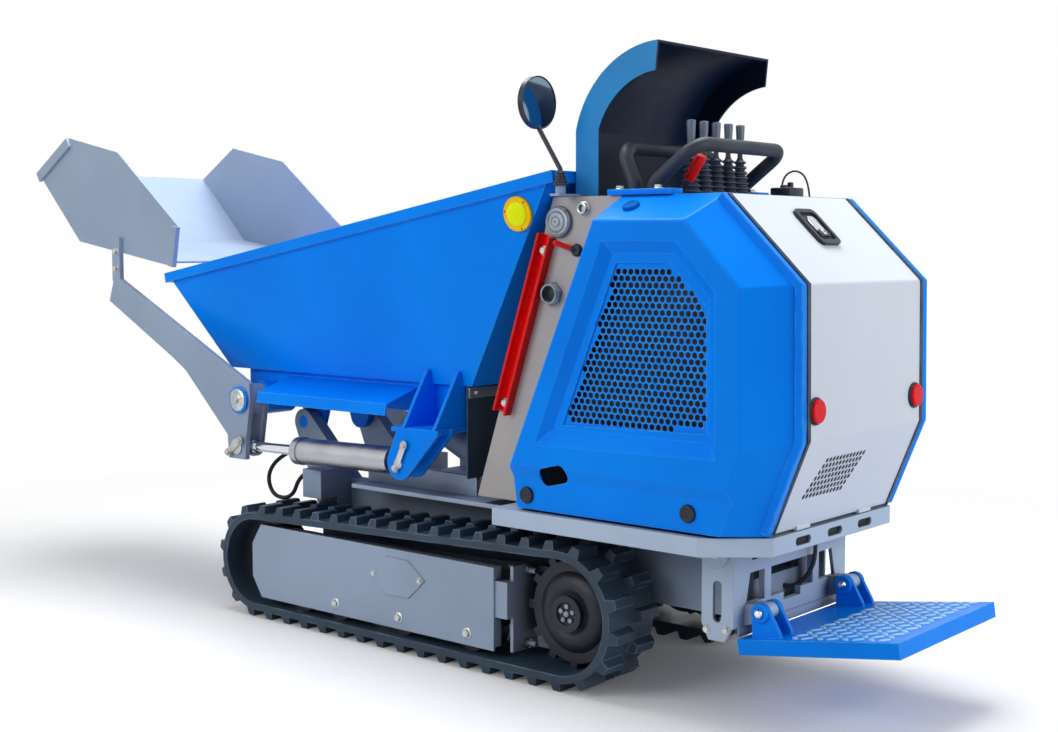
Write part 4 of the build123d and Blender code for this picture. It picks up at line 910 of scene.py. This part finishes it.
# Dark rubber flap and its clamping bar: painted shade filling the gap between the skip's rear and the tank
SHADE_FLAP_X = 0.468
SHADE_FLAP_THICK = 0.004
CLAMP_THICK = 0.003
bm = bmesh.new()
corners = [at(SHADE_FLAP_X, y, z) for y, z in oblong(-0.245, 0.245, 0.47, 0.7245)]
slab(bm, corners, (-SHADE_FLAP_THICK, 0, 0))
make("skip_shade_flap", bm, RUBBER_AND_SHEEN, "skip")
bm = bmesh.new()
corners = [at(SHADE_FLAP_X - SHADE_FLAP_THICK, y, z) for y, z in oblong(-0.24, 0.24, 0.69, 0.72)]
slab(bm, corners, (-CLAMP_THICK, 0, 0))
for y in (-0.21, -0.07, 0.07, 0.21):
    bolt(bm, at(SHADE_FLAP_X - SHADE_FLAP_THICK - CLAMP_THICK, y, 0.705), -FORWARD, 0.007)
make("shade_flap_clamp", bm, ZINC, "skip")


# Loader: fixings of the lift arms

ARM_PIN_FACE = 0.364
ARM_KEEPER_FACE = 0.3725
SHOVEL_FACE = 0.365
ARM_KEEPER = [(1.262, 0.520), (1.275, 0.533), (1.340, 0.486), (1.330, 0.470)]
bm = bmesh.new()
for side in SIDES.values():
    out = Vector((0, side, 0))
    turn(bm, head(0.024, 0.006, 0.021, 0.009), at(1.300, side * ARM_PIN_FACE, 0.500), out, 36)
    slab(bm, [at(x, side * ARM_KEEPER_FACE, z) for x, z in ARM_KEEPER], out * KEEPER_THICK)
    for x, z in ((1.273, 0.521), (1.329, 0.482)):
        bolt(bm, at(x, side * (ARM_KEEPER_FACE + KEEPER_THICK), z), out, 0.009)
    for z in (1.030, 1.085):
        bolt(bm, at(1.910, side * SHOVEL_FACE, z), out, 0.010)
make("arm_fixings", bm, ZINC, "loader")


# Rear frame: strip under the cross beam, and a dark sheet behind the skirt's slots as painted shade

BEAM_UNDER = 0.2055
STRIP_DROP = 0.0258
SKIRT_SHADE_X = -0.511
SKIRT_SHADE_THICK = 0.002
bm = bmesh.new()
corners = [at(x, y, BEAM_UNDER) for y, x in oblong(-0.24, 0.24, -0.402, -0.397)]
slab(bm, corners, UP * -STRIP_DROP, 0.0008)
make("beam_strip", bm, LIT_SILVER, "chassis")
bm = bmesh.new()
corners = [at(SKIRT_SHADE_X, y, z) for y, z in oblong(-0.2, 0.2, 0.4, 0.429)]
slab(bm, corners, FORWARD * SKIRT_SHADE_THICK, 0.0004)
make("skirt_slot_shade", bm, IRON, "chassis")


# Step: raised tread, hinge bosses and pin ends

TREAD_UP = Vector((0.14954, 0, 0.98876))
TREAD_BACK = Vector((-0.98876, 0, 0.14954))
TREAD_START = Vector((-1.3889, 0, 0.20993))
TREAD_PITCH = 0.0325
TREAD_STEPS = 12
TREAD_LAYERS = ((0.0158, 0.0070, 0), (0.0144, 0.0058, 0.0020), (0.0112, 0.0038, 0.0034))
# The raised diamonds take the pale tread colour, a painted glint on the blue plate
bm = bmesh.new()
for i in range(-2, 6):
    for j in range(-7, 8):
        centre = TREAD_START + TREAD_BACK * (i * TREAD_PITCH) + Vector((0, j * TREAD_PITCH, 0))
        way = (TREAD_BACK + Vector((0, 1 if (i + j) % 2 else -1, 0))).normalized()
        across = TREAD_UP.cross(way)
        rows = []
        for long, wide, high in TREAD_LAYERS:
            row = []
            for k in range(TREAD_STEPS):
                a = 2 * pi * k / TREAD_STEPS
                spread = centre + way * (cos(a) * long) + across * (sin(a) * wide)
                row.append(bm.verts.new(spread + TREAD_UP * high))
            rows.append(row)
        bm.faces.new(rows[0])
        bm.faces.new(rows[-1])
        skin(bm, rows)
make("step_tread", bm, TREAD_GLINT, "step")

# Hinges of the step
EAR_Y = 0.2
EAR_HALF = 0.030
STEP_BOSS = [
    (0.0094, -0.001), (0.0225, -0.001), (0.0225, 0.006), (0.0205, 0.008), (0.0094, 0.008), (0.0094, -0.001),
]
PIN_END = [
    (0, 0.005), (0.0088, 0.005), (0.0115, 0.0085), (0.0115, 0.013), (0.0095, 0.0165), (0.005, 0.0185),
    (0, 0.019),
]
bm = bmesh.new()
pins = bmesh.new()
for side in SIDES.values():
    for end in (1, -1):
        place = at(-0.455, side * EAR_Y + end * EAR_HALF, 0.245)
        turn(bm, STEP_BOSS, place, (0, end, 0), 40)
        turn(pins, PIN_END, place, (0, end, 0), 28)
make("step_bosses", bm, BLUE, "step")
make("step_pin_ends", pins, CHROME, "chassis")


# Camera, light and floor

VIEW_FROM = Vector((-3.0489, 3.195, 1.1))
VIEW_ALONG = Vector((0.6468, -0.7585, -0.0795))
camera = bpy.data.objects.new("camera", bpy.data.cameras.new("camera"))
camera.data.lens = 50.75
camera.data.sensor_width = 36
camera.location = VIEW_FROM
camera.rotation_euler = VIEW_ALONG.to_track_quat("-Z", "Y").to_euler()
bpy.context.collection.objects.link(camera)
scene = bpy.context.scene
scene.camera = camera
scene.view_settings.view_transform = "Standard"


def softbox(name, place, aim, size, power):
    """A rectangular lamp turned to a point."""
    data = bpy.data.lights.new(name, "AREA")
    data.shape = "RECTANGLE"
    data.size, data.size_y = size
    data.energy = power
    lamp = bpy.data.objects.new(name, data)
    lamp.location = place
    lamp.rotation_euler = (Vector(aim) - Vector(place)).to_track_quat("-Z", "Y").to_euler()
    bpy.context.collection.objects.link(lamp)


softbox("top_box", (0.1, -0.5, 4.0), (-0.2, 0, 0.4), (3.0, 2.6), 215)
softbox("side_box", (0.9, 4.5, 2.9), (0, 0, 0.6), (3, 2.5), 98)
softbox("rear_box", (-4.6, -0.6, 2.0), (0, 0, 0.8), (2.5, 2.5), 72)


def plain_rays(tree):
    """One for rays from the camera, off metal or through glass, and nought for the light's own."""
    path = tree.nodes.new("ShaderNodeLightPath")
    total = path.outputs["Is Camera Ray"]
    for name in ("Is Glossy Ray", "Is Transmission Ray"):
        add = tree.nodes.new("ShaderNodeMath")
        add.operation = "MAXIMUM"
        tree.links.new(total, add.inputs[0])
        tree.links.new(path.outputs[name], add.inputs[1])
        total = add.outputs["Value"]
    return total


world = bpy.data.worlds.new("studio")
scene.world = world
world.use_nodes = True
tree = world.node_tree
glow = tree.nodes["Background"]
glow.inputs["Color"].default_value = (0.93, 0.96, 1, 1)
glow.inputs["Strength"].default_value = 0.33
white = tree.nodes.new("ShaderNodeBackground")
white.inputs["Color"].default_value = (1, 1, 1, 1)
seen = tree.nodes.new("ShaderNodeMixShader")
tree.links.new(plain_rays(tree), seen.inputs["Fac"])
tree.links.new(glow.outputs["Background"], seen.inputs[1])
tree.links.new(white.outputs["Background"], seen.inputs[2])
tree.links.new(seen.outputs["Shader"], tree.nodes["World Output"].inputs["Surface"])

# The floor shows shade near the object and fades to plain white away from it

FLOOR_HALF = 30
FADE = {"From Min": 1.6, "From Max": 3.4, "To Min": 0.05, "To Max": 1.0}
mesh = bpy.data.meshes.new("floor")
corners = oblong(-FLOOR_HALF, FLOOR_HALF, -FLOOR_HALF, FLOOR_HALF)
mesh.from_pydata([(x, y, 0) for x, y in corners], [], [(0, 1, 2, 3)])
floor = bpy.data.objects.new("floor", mesh)
bpy.context.collection.objects.link(floor)
ground = Look("floor", Roughness=0.6)
plain = plain_rays(ground.tree)
ground.set("Base Color", ground.mix(plain, (0.5, 0.5, 0.5, 1), (0.88, 0.88, 0.88, 1)))
away = ground.add("ShaderNodeVectorMath", operation="LENGTH")
ground.link(ground.where, away.inputs[0])
far = ground.add("ShaderNodeMapRange")
for key, value in FADE.items():
    far.inputs[key].default_value = value
ground.link(away.outputs["Value"], far.inputs["Value"])
share = ground.add("ShaderNodeMath", operation="MULTIPLY")
ground.link(plain, share.inputs[0])
ground.link(far.outputs["Result"], share.inputs[1])
lit = ground.add("ShaderNodeEmission")
blend = ground.add("ShaderNodeMixShader")
ground.link(share.outputs["Value"], blend.inputs["Fac"])
ground.link(ground.shader.outputs["BSDF"], blend.inputs[1])
ground.link(lit.outputs["Emission"], blend.inputs[2])
ground.link(blend.outputs["Shader"], ground.tree.nodes["Material Output"].inputs["Surface"])
mesh.materials.append(ground.material)
